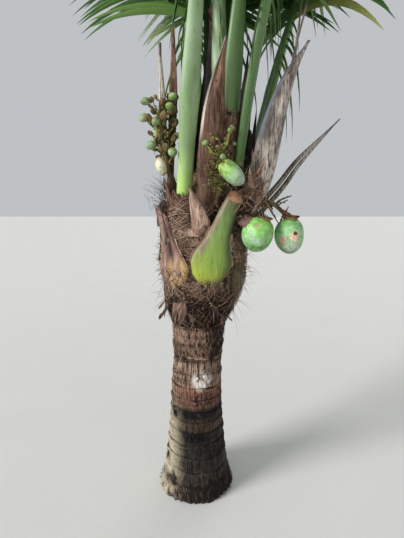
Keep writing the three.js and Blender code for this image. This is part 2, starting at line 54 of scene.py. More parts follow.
# The bark's colours by height, as shares of 0.9 m. The top two stops are lightened as painted light in the skirt's
# shadow.
BARK_BANDS = [
    (0.0, (46, 44, 40)), (0.1, (64, 58, 50)), (0.2, (40, 37, 35)), (0.26, (42, 38, 35)), (0.31, (16, 15, 18)),
    (0.37, (14, 14, 17)), (0.39, (80, 60, 45)), (0.435, (74, 54, 41)), (0.46, (16, 15, 16)), (0.495, (20, 18, 18)),
    (0.52, (118, 84, 68)), (0.6, (142, 96, 78)), (0.64, (160, 132, 112)), (0.75, (162, 136, 116)),
    (0.775, (66, 48, 40)), (0.8, (106, 80, 67)), (0.92, (148, 119, 104)), (1.0, (184, 150, 132)),
]
# The pale patch of lichen in front, in metres
LICHEN = {"at": (0.03, -0.118, 0.6), "radius": 0.062}

# Height and radius of the wrapped heart, from the trunk's top to its own
HEART_PROFILE = [
    (860, 126), (905, 140), (950, 162), (1020, 174), (1120, 174),
    (1220, 164), (1340, 150), (1460, 134), (1560, 108), (1610, 70),
]
HEART_MESH = {"columns": 220, "rows": 240}
# Fibre sheaths round the feet of the front and side leaves, how far they bulge, and how long they taper below
SHEATH_BULGE = 1.12
SHEATH_TAPER = 0.3
SHEATHS = table(
    "at from to radius",
    ((-50, -82), 1180, 1458, 64), ((150, -70), 1180, 1490, 58), ((188, 86), 1040, 1250, 56),
    ((70, 140), 1160, 1400, 70), ((-44, 104), 1180, 1420, 60),
)

BASE = {"width": 180, "depth": 66, "proud": -2, "sides": 48, "steps": 56}
# How far the front of a fresh cut is lower than its back, as a share of its depth
CUT_SLANT = 0.9
BASE_SHARE = [
    (0, 0.3), (0.05, 0.6), (0.13, 0.86), (0.24, 1), (0.32, 0.96), (0.43, 0.74), (0.52, 0.58), (0.67, 0.46), (1, 0.36),
]
BASES = table(
    "name heading level height out aside end",
    ("cut_petiole_front", -80, 1070, 385, 45, 104, (68, 50)),
    ("dead_base_left", -133, 1050, 345, 26, -62, (50, 16)),
    ("dead_base_right", -28, 985, 300, 46, 26, (52, 30)),
    ("cut_petiole_back_right", 52, 1030, 330, 70, -25, (60, 44)),
    ("dead_base_back", 90, 1000, 290, 60, 35, (54, 34)),
    ("cut_petiole_back_left", 148, 1060, 350, 75, -20, (62, 46)),
)

BRACT = {"wall": 3.5, "rows": 60, "columns": 13}
BRACTS = table(
    "name width depth widest facing finish strips line",
    ("bract_middle", 104, 44, 0.42, -80, "red", 1,
     [(52, -112, 1345), (60, -150, 1600), (84, -166, 1850), (123, -170, 2075)]),
    ("bract_right", 124, 46, 0.38, -68, "grey", 1,
     [(170, -66, 1290), (250, -112, 1450), (290, -132, 1580), (334, -150, 1790),
      (381, -160, 1930), (450, -170, 2062)]),
    ("bract_far_right", 54, 24, 0.34, -88, "pale", 2,
     [(150, -34, 1235), (214, -70, 1318), (362, -100, 1488), (453, -100, 1610), (616, -100, 1780)]),
    ("bract_left", 62, 30, 0.4, 190, "red", 1,
     [(-66, 14, 1330), (-104, -6, 1485), (-86, -20, 1880), (-90, -30, 2165)]),
    ("bract_left_dark", 38, 20, 0.5, 215, "grey", 1,
     [(-76, -40, 1395), (-128, -54, 1650), (-140, -54, 1900), (-148, -54, 2096)]),
    ("bract_back", 92, 44, 0.45, 110, "grey", 1,
     [(20, 142, 1330), (-20, 206, 1560), (-48, 250, 1800), (-60, 310, 2010)]),
    ("torn_sheath", 80, 22, 0.22, -105, "pink", 1,
     [(24, -144, 1276), (20, -178, 1360), (-4, -192, 1440), (-24, -196, 1502)]),
)

SCRAP_SKINS = ("pink", "pale", "red", "brown", "dark")
# Torn flaps that show in front: where they start, the way they go, what they face, their size, how far they curl
# out as a share of their length, and their place among the skins above
FLAPS = table(
    "foot way facing length width curl skin",
    ((-74, -146, 1318), (1, -0.16, -0.28), (0, -1, 0.2), 118, 50, -0.06, 0),
    ((-96, -134, 1352), (1, -0.28, 0.1), (0, -1, 0), 96, 24, -0.1, 3),
    ((-102, -126, 1262), (1, -0.4, -0.5), (0, -1, 0), 90, 26, -0.05, 3),
    ((-46, -150, 1010), (-0.25, -0.1, -1), (-0.3, -1, 0), 140, 52, 0.12, 3),
    ((-20, -146, 968), (0.05, -0.1, -1), (0, -1, 0), 90, 34, 0.1, 3),
    ((-86, -132, 985), (-0.1, 0, -1), (-0.5, -1, 0), 80, 30, 0.15, 3),
    ((196, -180, 1372), (0.66, -0.68, -0.3), (-0.4, -0.6, 0.8), 84, 64, -0.2, 3),
    ((176, -122, 1330), (0.35, -0.3, 1), (0.2, -1, 0), 130, 44, 0.1, 3),
    ((150, -132, 1290), (0.2, -0.1, -1), (0.4, -1, 0), 130, 40, 0.05, 1),
    ((128, -122, 1440), (0.15, -0.3, 1), (0, -1, 0), 150, 36, 0.05, 3),
    ((200, -84, 1360), (0.3, -0.25, 1), (0, -1, 0), 170, 46, 0.05, 2),
    ((-76, -134, 1420), (-0.1, -0.1, 1), (-0.3, -1, 0), 70, 44, 0.3, 3),
    ((206, -84, 1400), (0.12, 0, 1), (0, -1, 0), 440, 74, 0.02, 4),
    ((262, -178, 1440), (-0.66, -0.1, 1), (0, -1, 0.2), 190, 44, -0.05, 3),
    ((250, -170, 1400), (0.25, -0.2, 1), (-0.5, -1, 0), 150, 40, 0.1, 3),
    ((205, -152, 1440), (0.5, -0.35, 1), (-0.3, -1, 0), 200, 30, 0.05, 2),
    ((240, -166, 1450), (-0.12, -0.3, 1), (0.1, -1, 0), 160, 26, 0.12, 0),
    ((182, -146, 1465), (0.9, -0.6, 0.75), (-0.2, -1, 0.2), 130, 18, 0.05, 0),
    ((-150, -66, 1320), (0.1, 0, 1), (-0.4, -1, 0), 130, 64, 0.02, 3),
    ((-52, -150, 1180), (1, -0.15, 0.25), (0, -1, 0.2), 110, 60, -0.05, 3),
    ((392, -158, 1930), (0.12, 0, 1), (0.3, -1, 0), 330, 12, -0.04, 1),
    ((376, -154, 1890), (0.16, 0.05, 1), (0.6, -1, 0), 390, 11, 0.08, 1),
    # The next two long near-black strips stand between the leaf stalks as painted shade in the crown's dark gaps; the
    # second is partly a real fibre sheath.
    ((182, -6, 1480), (0.1, -0.02, 1), (0, -1, 0), 720, 66, 0.01, 4),
    ((44, -30, 1540), (0.06, 0.02, 1), (0, -1, 0), 690, 92, 0.01, 4),
    ((260, -108, 1470), (0.1, -0.1, 1), (-1, -0.5, 0), 190, 10, 0.2, 2),
)

# How much of a tangle is dark, brown, straw, green twig, floret and pale twig
MIXES = {
    "dark": (0.45, 0.4, 0.15, 0, 0, 0), "brown": (0.25, 0.4, 0.35, 0, 0, 0),
    "straw": (0.05, 0.2, 0.35, 0, 0, 0.4), "green": (0, 0.15, 0.2, 0.5, 0.15, 0),
}
# Tangles of loose fibre and twig: the middle, how far they spread, how many strands, and their mixture.
# One with a way is a broom of old twigs that starts at its place and fans out that way.
TANGLES = table(
    "at spread strands mix way",
    ((196, -172, 1540), 52, 120, "brown"),
    ((232, -204, 1450), 70, 80, "straw"),
    ((214, -168, 1400), 170, 90, "straw", (0.2, -0.35, 1)),
    ((-134, -88, 1418), 56, 120, "brown"),
    ((98, -212, 1600), 38, 200, "green"),
    ((88, -206, 1515), 40, 190, "green"),
    ((-134, -98, 1690), 36, 130, "green"),
    ((-136, -98, 1790), 36, 110, "green"),
    ((-112, -62, 1450), 150, 150, "dark", (-0.45, -0.1, 1)),
    ((210, 190, 1420), 60, 110, "brown"),
    ((-96, 190, 1470), 60, 110, "brown"),
)
# Leaves whose lower stalk is wrapped in fibre, by number, and the share of the leaf that it covers
WRAPS = [
    (1, 0.048), (2, 0.07), (14, 0.24), (13, 0.17), (12, 0.1), (11, 0.12), (9, 0.08), (4, 0.08), (5, 0.08), (7, 0.09),
    (3, 0.07),
]
WRAP = {"foot": 90, "top": 74, "flat": 0.86, "sides": 26, "rows": 640, "threads": 260, "fringe": 90}

# A bunch's thicknesses, where along its stalk the branchlets stand, the turn from one to the next, and its points
BUNCH = {"stalk": 34, "branchlet": 11, "fine": 6, "tip": 4.5, "places": (0.42, 0.97), "turn": 137.5, "steps": 60}
# How far each layer of a nut's scales reaches and how far it hangs, as shares of the nut
CALYX_LAYERS = ((0.34, 0.15), (0.26, 0.085))
# The side that nuts and tubes are built from
NUT_FACING = np.array([0.3, 1.0, 0.2])
TUBE_FACING = np.array([0.3, -1, 0.2])
# Each nut has its middle, the way that its tip points, its length and width, and its finish
BUNCHES = table(
    "name branchlets length young fine line nuts",
    (
        "nut_bunch_left", 12, 100, 40, (0.3, 0.9),
        [(-64, -36, 1420), (-112, -84, 1560), (-138, -98, 1700), (-146, -100, 1850)],
        [((-146, -96, 1585), (0.25, 0, -1), 84, 48, "tan")],
    ),
    (
        "nut_bunch_middle", 7, 110, 24, (0.2, 0.5),
        [(96, -128, 1430), (112, -176, 1530), (110, -206, 1620), (100, -214, 1690)],
        [((151, -214, 1551), (0.72, -0.1, -0.7), 132, 78, "bloom")],
    ),
    (
        "nut_bunch_right", 5, 110, 0, (0.2, 0.6),
        [(150, -70, 1330), (236, -150, 1420), (320, -172, 1430), (404, -150, 1362)],
        [
            ((267, -190, 1297), (-0.25, 0, -1), 150, 134, "bright"),
            ((410, -150, 1288), (0.02, 0, -1), 158, 126, "scabbed"),
        ],
    ),
    (
        "nut_bunch_back_right", 5, 120, 0, (0.2, 0.6),
        [(150, 90, 1330), (226, 176, 1430), (262, 232, 1440), (280, 262, 1385)],
        [
            ((212, 252, 1290), (-0.2, 0.1, -1), 152, 130, "bright"),
            ((330, 196, 1300), (0.2, 0, -1), 150, 126, "scabbed"),
            ((296, 318, 1300), (0.1, 0.3, -1), 146, 122, "bright"),
        ],
    ),
    (
        "nut_bunch_back_left", 6, 90, 36, (0.3, 0.9),
        [(-20, 110, 1370), (-50, 200, 1470), (-62, 262, 1490), (-66, 302, 1450)],
        [
            ((-6, 316, 1366), (0.1, 0.2, -1), 128, 104, "bright"),
            ((-104, 280, 1372), (-0.1, 0.1, -1), 126, 102, "bright"),
        ],
    ),
)
# Scabs on the nuts in front, in metres: the middle, how far they reach, and their lighter and darker colour
BRIGHT_SCABS = [((0.255, -0.24, 1.335), 0.018, (168, 170, 108), (132, 122, 76))]
SCABBED_SCABS = [
    ((0.364, -0.2, 1.272), 0.029, (226, 196, 170), (188, 140, 112)),
    ((0.417, -0.212, 1.29), 0.031, (234, 206, 180), (196, 156, 124)),
    ((0.42, -0.21, 1.303), 0.014, (96, 58, 36), (70, 44, 30)),
]

FROND = {
    "petiole": 0.28, "blade_start": (46, 34), "tip": (9, 7),
    "width": [(0, 64), (0.3, 66), (0.55, 78), (0.85, 56), (1, 46)],
    "depth": [(0, 48), (0.3, 44), (0.8, 40), (1, 34)],
    "split_lean": 62, "split_from": 100, "sides": 28, "rows": 160, "leaf_places": 720,
}
FRONDS = table(
    "foot heading lean arch veer length broad droop",
    ((-60, -84, 1290), -67, 10, 108, -12, 3800, 1.06, 0.5),
    ((152, -86, 1300), -24, 7, 112, -16, 3900, 0.88, 0.5),
    ((190, 92, 1200), 20, 12, 102, 10, 4000, 1, 0.55),
    ((100, 138, 1330), 66, 9, 112, 14, 3850, 0.9, 0.5),
    ((30, 148, 1330), 104, 10, 112, -8, 3850, 0.85, 0.5),
    ((-44, 112, 1340), 172, -5, 118, -48, 3750, 0.8, 0.45),
    ((-44, 46, 1380), 178, -5, 116, -6, 3750, 0.8, 0.45),
    ((-44, -20, 1400), 184, -5, 116, 42, 3650, 0.8, 0.45),
    ((172, 26, 1450), 4, 7, 92, 14, 3600, 0.85, 0.35),
    ((104, -36, 1490), -108, -1, 98, -12, 3450, 0.9, 0.35),
    ((72, 72, 1510), 118, 0, 92, -10, 3350, 0.85, 0.3),
    ((140, -70, 1480), -50, 3, 82, 12, 3300, 1.22, 0.28),
    ((128, 66, 1530), 44, 2, 62, -16, 3050, 0.8, 0.25),
    ((50, 4, 1550), -168, -4, 68, 10, 2850, 0.75, 0.22),
)
# The fronds whose stalks are paler with most bloom, the others darker partly as painted shade, and those without
# small leaflets low down, by number
PALE_STALKS = (1, 10)
BARE_STALKS = (1, 10, 12)
# A frond's leaflets: how many, the longest, their tilt and width from its start to its tip, how far they fold, and
# how many in a hundred have each finish. The young ones low down are few and narrow. The widths are in metres.
LEAFLET = {
    "count": 92, "length": 860, "tilt": (78, 34), "width": (0.041, 0.026), "fold": 0.55,
    "shares": [0.36, 0.34, 0.22, 0.08], "young": 7, "young_width": 0.014, "young_droop": 0.95,
}
SPEAR = {"foot": (100, 16, 1560), "length": 1950, "lean": 2, "heading": 60, "width": 34, "sides": 40, "rows": 60}

# Deep shade between the leaf feet in front, in metres: the middle and how far it reaches
HOLLOWS = [((0.19, -0.13, 1.42), 0.14), ((0.1, -0.14, 1.37), 0.1)]

# How many of each fine thing, all seeded
MAT_STRANDS = 6400
SKIRT_STRANDS = 2600
TRUNK_HAIRS = 420
STRAY_STRANDS = 420
ROOTLETS = 420
SCRAPS = 34
FRAY_STRANDS = 46

# The photo's camera: a phone at chest height that looks a little down
CAMERA = {"at": (0.03, -1.9, 1.45), "down": 10, "lens": 27.03}
# How far the floor reaches each way, in metres
FLOOR_REACH = 30
# Each lamp's way, spread in degrees and strength
LAMPS = {
    "key": ((0.95, 0.5, -0.5), 24, 3.5), "fill": ((-0.7, 0.8, -0.3), 60, 0.15), "back": ((-0.4, -1.0, -0.7), 40, 0.5),
}


# Numbers and vectors


def srgb(red, green, blue):
    """A linear colour with alpha from 8-bit values."""
    parts = (c / 255 for c in (red, green, blue))
    return (*(c / 12.92 if c <= 0.04045 else ((c + 0.055) / 1.055) ** 2.4 for c in parts), 1)


def unit(v):
    return v / np.linalg.norm(v, axis=-1, keepdims=True)


def mix(a, b, t):
    return a + (b - a) * t


def smooth(start, end, x):
    t = np.clip((x - start) / (end - start), 0, 1)
    return t * t * (3 - 2 * t)


def bell(x, width):
    return np.exp(-((x / width) ** 2))


def on_line(pairs, x):
    """The value at x on straight lines through (x, value) pairs."""
    return np.interp(x, [p[0] for p in pairs], [p[1] for p in pairs])


def circle(count):
    return np.linspace(0, 2 * np.pi, count, endpoint=False)


def outward(turn):
    return np.stack([np.cos(turn), np.sin(turn), 0 * turn], axis=-1)


def around(heading, r):
    turn = math.radians(heading)
    return np.array([r * math.cos(turn), r * math.sin(turn), 0.0])


def stem_x(z):
    """How far the stem's axis has leaned to +X at a height, in metres."""
    return LEAN["drift"] * MM * (z / (LEAN["height"] * MM)) ** 3


def off_stem(turn, radius, z):
    """Points at a turn and a radius round the stem's axis."""
    return np.stack([stem_x(z) + radius * np.cos(turn), radius * np.sin(turn), z], axis=-1)


LATTICE = np.random.default_rng(SEED).random((CELLS, CELLS, CELLS))


def noise(x, y, z):
    """Smooth noise from -1 to 1 at coordinates that are arrays or plain numbers, one wave to a unit."""
    cells = [np.floor(c).astype(int) for c in (x, y, z)]
    parts = [smooth(0, 1, c - cell) for c, cell in zip((x, y, z), cells)]
    total = 0
    for corner in np.ndindex(2, 2, 2):
        weight = 1
        for part, one in zip(parts, corner):
            weight = weight * (part if one else 1 - part)
        total = total + weight * LATTICE[tuple((cell + one) % CELLS for cell, one in zip(cells, corner))]
    return 2 * total - 1


def seeded(seed):
    """The same repeatable numbers from 0 to 1 as the part's solids use."""
    state = seed
    while True:
        state = (state * 1664525 + 1013904223) % 4294967296
        yield state / 4294967296


def smooth_line(points, count):
    """Evenly spaced points on a smooth line through some points, and the line's directions there."""
    points = np.array(points, float)
    padded = np.vstack([2 * points[0] - points[1], points, 2 * points[-1] - points[-2]])
    u = np.linspace(0, len(points) - 1, 40 * (len(points) - 1) + 1)
    i = np.minimum(u.astype(int), len(points) - 2)
    f = (u - i)[:, None]
    a, b, c, d = (padded[i + k] for k in range(4))
    fine = b + 0.5 * ((c - a) * f + (2 * a - 5 * b + 4 * c - d) * f**2 + (3 * b - a - 3 * c + d) * f**3)
    way = np.concatenate([[0], np.cumsum(np.linalg.norm(np.diff(fine, axis=0), axis=1))])
    even = np.linspace(0, way[-1], count)
    at = np.stack([np.interp(even, way, fine[:, k]) for k in range(3)], axis=1)
    return at, unit(np.gradient(at, axis=0))


def side_axes(along, facing):
    """For each direction, y on the side that faces the given way, and x beside it."""
    y = unit(facing - np.sum(along * facing, axis=-1, keepdims=True) * along)
    return np.cross(y, along), y


# Meshes


class Shape:
    """Points and faces for one mesh, with each face's material and each point's place along and across."""

    def __init__(self):
        self.points, self.faces, self.slots, self.marks = [], [], [], []
        self.count = 0

    def add(self, points, faces, slot, along=0.0, across=0.0):
        points = np.asarray(points, float).reshape(-1, 3)
        marks = np.zeros((len(points), 2))
        marks[:, 0], marks[:, 1] = along, across
        self.points.append(points)
        self.marks.append(marks)
        self.faces.extend((np.asarray(faces) + self.count).tolist())
        self.slots.extend([slot] * len(faces))
        self.count += len(points)

    def grid(self, rows, closed=True, slot=0, along=0.0, across=0.0):
        """Quads between rows of points. A closed grid joins each row's end to its start."""
        n, m = rows.shape[:2]
        row, column = np.meshgrid(np.arange(n - 1), np.arange(m if closed else m - 1), indexing="ij")
        a = (row * m + column).ravel()
        b = (row * m + (column + 1) % m).ravel()
        marks = (np.broadcast_to(mark, (n, m)).ravel() for mark in (along, across))
        self.add(rows, np.stack([a, b, b + m, a + m], axis=1), slot, *marks)

    def cap(self, ring, slot=0, flip=False, along=0.0, dome=0.0):
        """A fan over a ring of points, raised by the dome's height."""
        n = len(ring)
        centre = ring.mean(axis=0)
        normal = unit(np.cross(ring[0] - centre, ring[n // 4] - centre))
        i = np.arange(n)
        faces = np.stack([i, (i + 1) % n, np.full(n, n)], axis=1)
        self.add(np.vstack([ring, centre + normal * dome]), faces[:, ::-1] if flip else faces, slot, along)

    def solid(self, rows, slot=0, along=0.0, across=0.0, end=0.0):
        """A closed grid with a cap at each end, the last one marked as that far along."""
        self.grid(rows, True, slot, along, across)
        self.cap(rows[0], slot, flip=True)
        self.cap(rows[-1], slot, along=end)

    def ribbons(self, lines, facing, width, slots):
        """Thin pointed strips along many lines at once, of shape (strips, points, 3), flat towards the facing."""
        along = unit(np.gradient(lines, axis=1))
        across = unit(np.cross(along, facing))
        taper = (1 - np.linspace(0, 1, lines.shape[1]) ** 3 * 0.85)[None, :, None]
        half = np.reshape(width, (-1, 1, 1)) / 2 * taper
        rows = np.stack([lines - across * half, lines + across * half], axis=2)
        for slot in np.unique(slots):
            chosen = rows[slots == slot]
            strips, steps = chosen.shape[:2]
            strip, step = np.meshgrid(np.arange(strips), np.arange(steps - 1), indexing="ij")
            a = (strip * steps * 2 + step * 2).ravel()
            self.add(chosen, np.stack([a, a + 1, a + 3, a + 2], axis=1), int(slot))

    def strands(self, rng, lines, facing, widths, shares=None):
        """Ribbons with widths from a range, in materials by their shares, or evenly in the first three."""
        width = rng.uniform(*widths, len(lines))
        self.ribbons(lines, facing, width, rng.choice(len(shares) if shares else 3, len(lines), p=shares))


def new_object(name, data):
    """A new object in the scene."""
    made = bpy.data.objects.new(name, data)
    bpy.context.scene.collection.objects.link(made)
    return made


def piece(name, shape, materials, slot, *nodes):
    """A piece of the palm from a shape, in place of CAD nodes where some are named."""
    mesh = bpy.data.meshes.new(name)
    mesh.from_pydata(np.concatenate(shape.points).tolist(), [], shape.faces)
    mesh.polygons.foreach_set("material_index", shape.slots)
    mesh.polygons.foreach_set("use_smooth", [True] * len(shape.faces))
    marks = np.concatenate(shape.marks)
    for column, mark in enumerate(("along", "across")):
        mesh.attributes.new(mark, "FLOAT", "POINT").data.foreach_set("value", marks[:, column].astype(np.float32))
    for material in materials:
        mesh.materials.append(material)
    made = new_object(name, mesh)
    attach(made, "root")
    if nodes:
        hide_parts(*nodes)


def ring_points(at, x, y, width, depth, count, square=1.0):
    """Ovals of points round a line, of a width along x and a depth along y. A square under 1 fills them out."""
    cos, sin = np.cos(circle(count)), np.sin(circle(count))
    cos, sin = np.sign(cos) * np.abs(cos) ** square, np.sign(sin) * np.abs(sin) ** square
    half_width = np.broadcast_to(width, len(at))[:, None, None] / 2
    half_depth = np.broadcast_to(depth, len(at))[:, None, None] / 2
    offset = half_width * cos[None, :, None] * x[:, None] + half_depth * sin[None, :, None] * y[:, None]
    return at[:, None] + offset


def tube(shape, line, width, slot, count):
    """A round tube along a line of points and directions, closed at both ends."""
    at, along = line
    x, y = side_axes(along, TUBE_FACING)
    rows = ring_points(at, x, y, width, width, count)
    shape.solid(rows, slot, np.linspace(0, 1, len(at))[:, None], np.cos(circle(count)), 1.0)


# Materials


class Finish:
    """A material whose colour, roughness and relief come from nodes."""

    def __init__(self, name, roughness=0.7, specular=0.4):
        self.material = bpy.data.materials.new(name)
        self.material.use_nodes = True
        self.links = self.material.node_tree.links
        self.shader = self.material.node_tree.nodes["Principled BSDF"]
        self.shader.inputs["Roughness"].default_value = roughness
        self.shader.inputs["Specular IOR Level"].default_value = specular
        self.place = self.node("TexCoord").outputs["Object"]

    def node(self, kind, **inputs):
        """A new node with values on some of its inputs."""
        made = self.material.node_tree.nodes.new("ShaderNode" + kind)
        for name, value in inputs.items():
            self.put(value, made.inputs[name.replace("_", " ")])
        return made

    def put(self, value, socket):
        """Links another socket to this one, or gives it a value, where three numbers from 0 to 255 are a colour."""
        if isinstance(value, bpy.types.NodeSocket):
            self.links.new(value, socket)
        elif socket.type == "RGBA":
            socket.default_value = srgb(*value)
        else:
            socket.default_value = value

    def noise(self, scale, stretch=(1, 1, 1), detail=5.0, distortion=0.0, middle=(0, 0, 0)):
        place = self.node("Mapping", Vector=self.place, Scale=stretch, Location=middle).outputs["Vector"]
        return self.node("TexNoise", Vector=place, Scale=scale, Detail=detail, Distortion=distortion).outputs["Fac"]

    def speckle(self, scale):
        return self.node("TexVoronoi", Vector=self.place, Scale=scale).outputs["Distance"]

    def math(self, operation, a, b=0.0):
        node = self.node("Math")
        node.operation = operation
        self.put(a, node.inputs[0])
        self.put(b, node.inputs[1])
        return node.outputs["Value"]

    def times(self, a, b):
        return self.math("MULTIPLY", a, b)

    def plus(self, a, b):
        return self.math("ADD", a, b)

    def moved(self, value, pattern, reach):
        """A value moved up and down by a pattern, by half the reach either way."""
        return self.plus(value, self.times(self.math("SUBTRACT", pattern, 0.5), reach))

    def span(self, value, start, end, strength=1.0):
        """A smooth mask from 0 at the start to its strength at the end."""
        node = self.node("MapRange", Value=value, From_Min=start, From_Max=end, To_Max=strength)
        node.interpolation_type = "SMOOTHSTEP"
        return node.outputs["Result"]

    def mark(self, name):
        node = self.node("Attribute")
        node.attribute_name = name
        return node.outputs["Fac"]

    def axis(self, letter):
        return self.node("SeparateXYZ", Vector=self.place).outputs[letter]

    def near(self, point, radius, strength=1.0):
        """A mask round a point, from its strength in the middle to 0 at the radius."""
        node = self.node("VectorMath")
        node.operation = "DISTANCE"
        self.put(self.place, node.inputs[0])
        self.put(point, node.inputs[1])
        return self.span(node.outputs["Value"], radius, radius * 0.45, strength)

    def ramp(self, factor, stops):
        node = self.node("ValToRGB", Fac=factor)
        elements = node.color_ramp.elements
        for element, (position, _) in zip(elements, stops):
            element.position = position
        for position, _ in stops[2:]:
            elements.new(position)
        for element, (_, colour) in zip(elements, stops):
            element.color = srgb(*colour)
        return node.outputs["Color"]

    def blend(self, factor, a, b, way="MIX"):
        node = self.node("Mix")
        node.data_type = "RGBA"
        node.blend_type = way
        self.put(factor, node.inputs["Factor"])
        self.put(a, node.inputs[6])
        self.put(b, node.inputs[7])
        return node.outputs[2]

    def relief(self, height, depth):
        """Raises the surface by a pattern, up to a depth in metres."""
        node = self.node("Bump", Height=height, Distance=depth, Strength=1.0)
        self.links.new(node.outputs["Normal"], self.shader.inputs["Normal"])

    def paint(self, colour, roughness=None):
        self.put(colour, self.shader.inputs["Base Color"])
        if roughness is not None:
            self.put(roughness, self.shader.inputs["Roughness"])
        return self.material


def bark():
    """Ringed bark, banded by height: tan and red-brown above, dark and wet lower down, pale with moss and a painted
    highlight on its left, with painted shade down its right, in its grooves and under its ledge, and a painted
    highlight on the ledge.
    """
    f = Finish("bark", specular=0.2)
    height = f.moved(f.axis("Z"), f.noise(9), 0.05)
    fibres = f.noise(22, (6, 6, 0.6), 7)
    blotches = f.noise(14, detail=7, middle=(3, 1, 2))
    bands = f.ramp(f.times(height, 1 / 0.9), BARK_BANDS)
    toned = f.blend(f.span(f.noise(2.2, (1, 1, 14), 4), 0.42, 0.62, 0.55), bands, (58, 44, 36))
    streaked = f.blend(f.span(fibres, 0.44, 0.64), toned, (104, 92, 88), "MULTIPLY")
    pale = f.times(f.span(fibres, 0.47, 0.34), f.span(blotches, 0.45, 0.6, 0.5))
    flecked = f.blend(f.times(pale, f.span(height, 0.4, 0.56)), streaked, (176, 146, 122))
    # Pale on the lower left: partly moss, partly a painted highlight where the light falls from the left.
    left = f.times(f.span(f.axis("X"), -0.04, -0.15), f.span(height, 0.62, 0.3))
    moss_and_highlight = f.blend(f.times(left, f.span(blotches, 0.34, 0.54)), flecked, (186, 174, 148))
    sheen = f.blend(f.span(f.noise(24, detail=6), 0.56, 0.68, 0.3), moss_and_highlight, (92, 88, 58))
    # Painted shade in the grooves, fissures and under the ledge, and a painted highlight on the ledge, from the
    # trunk's along and across marks.
    grooves = f.blend(f.times(f.mark("along"), 0.85), sheen, (19, 16, 15))
    ledge_highlighted = f.blend(f.times(f.mark("across"), 0.9), grooves, (176, 140, 112))
    # Painted shade down the right side of the upper trunk, away from the light.
    right = f.times(f.span(f.axis("X"), 0.04, 0.1), f.span(height, 0.66, 0.74, 0.93))
    stains_and_shade = f.blend(right, ledge_highlighted, (24, 18, 16))
    lichen = f.times(f.near(LICHEN["at"], LICHEN["radius"]), f.span(f.noise(46, (1, 1, 0.6), 6), 0.4, 0.56))
    wet = f.times(f.span(height, 0.62, 0.4), f.span(blotches, 0.35, 0.6, 0.45))
    f.relief(f.plus(fibres, f.times(f.noise(90, (1, 1, 0.5)), 0.6)), 0.009)
    return f.paint(f.blend(lichen, stains_and_shade, (222, 216, 206)), f.math("SUBTRACT", 0.88, wet))


def matted_fibre():
    f = Finish("matted_fibre", 0.95, 0.08)
    weave = f.noise(60, (1, 1, 0.4), 6, 1.5)
    shade = f.span(f.axis("Z"), 1.1, 0.97, 0.85)
    for point, radius in HOLLOWS:
        shade = f.math("MINIMUM", f.plus(shade, f.near(point, radius, 0.75)), 1.0)
    base = f.ramp(weave, [(0.3, (56, 41, 34)), (0.5, (124, 100, 84)), (0.66, (176, 148, 126))])
    warm = f.blend(f.span(f.noise(11, detail=6), 0.5, 0.66, 0.45), base, (140, 106, 80))
    f.relief(weave, 0.006)
    return f.paint(f.blend(shade, warm, (30, 20, 17)))


def plain(name, colour, roughness, specular=0.15):
    """One colour, for a thing that comes in thousands and takes its variety from its neighbours."""
    return Finish(name, roughness, specular).paint(colour)


def green_base():
    """A cut green leaf base: yellow at its foot, green above, brown along its left margin, with painted shade down
    its right side.
    """
    f = Finish("green_leaf_base", 0.42, 0.5)
    along, across = f.mark("along"), f.mark("across")
    grain = f.noise(26, (1, 1, 0.25), 6)
    streaks = f.noise(60, (1, 1, 0.08), 5)
    colour = f.ramp(f.moved(along, grain, 0.4), [
        (0.0, (160, 164, 52)), (0.14, (160, 176, 64)), (0.34, (140, 168, 72)), (0.6, (122, 150, 78)),
        (0.8, (98, 116, 64)), (1.0, (92, 98, 62)),
    ])
    striped = f.blend(f.span(streaks, 0.5, 0.66, 0.28), colour, (80, 106, 48))
    margin = f.times(f.span(across, 0.35, 0.85), f.span(along, 0.12, 0.36))
    worn = f.blend(f.times(margin, f.span(grain, 0.32, 0.55)), striped, (120, 98, 76))
    shaded = f.blend(f.span(across, -0.25, -0.85, 0.85), worn, (56, 60, 32))
    dots = f.times(f.span(f.speckle(130), 0.26, 0.14), f.span(f.noise(18, detail=3), 0.44, 0.6))
    scars = f.math("MAXIMUM", f.span(f.noise(80, (1, 1, 0.8), 2), 0.66, 0.74), dots)
    f.relief(f.plus(grain, streaks), 0.0035)
    return f.paint(f.blend(f.times(scars, 0.55), shaded, (70, 58, 36)), f.plus(0.34, f.times(grain, 0.3)))


def cut_face():
    f = Finish("cut_face", 0.8)
    pores = f.speckle(260)
    f.relief(pores, 0.0015)
    tan = f.blend(f.span(f.noise(40), 0.35, 0.65), (222, 166, 128), (190, 140, 106))
    return f.paint(f.blend(f.span(pores, 0.24, 0.1), tan, (150, 96, 68)))


def dead_base(name, upper, foot, dark):
    """A dead leaf base: striped along its length, with painted shade in its cleft and its own colour at the foot."""
    f = Finish(name, 0.8, 0.3)
    along, across = f.mark("along"), f.mark("across")
    stripes = f.noise(34, (1, 1, 0.16), 6)
    stripe = f.blend(f.span(stripes, 0.36, 0.6), dark, upper)
    # Painted shade in the cleft.
    split = f.times(f.span(f.math("ABSOLUTE", f.plus(across, 0.25)), 0.2, 0.08, 0.8), f.span(along, 0.32, 0.45))
    cleft = f.blend(split, stripe, (30, 21, 18))
    low = f.times(f.span(along, 0.46, 0.16), f.span(f.noise(16, (1, 1, 0.4), 6), 0.36, 0.66))
    f.relief(stripes, 0.005)
    return f.paint(f.blend(f.times(low, f.span(across, 0.5, -0.3)), cleft, foot))


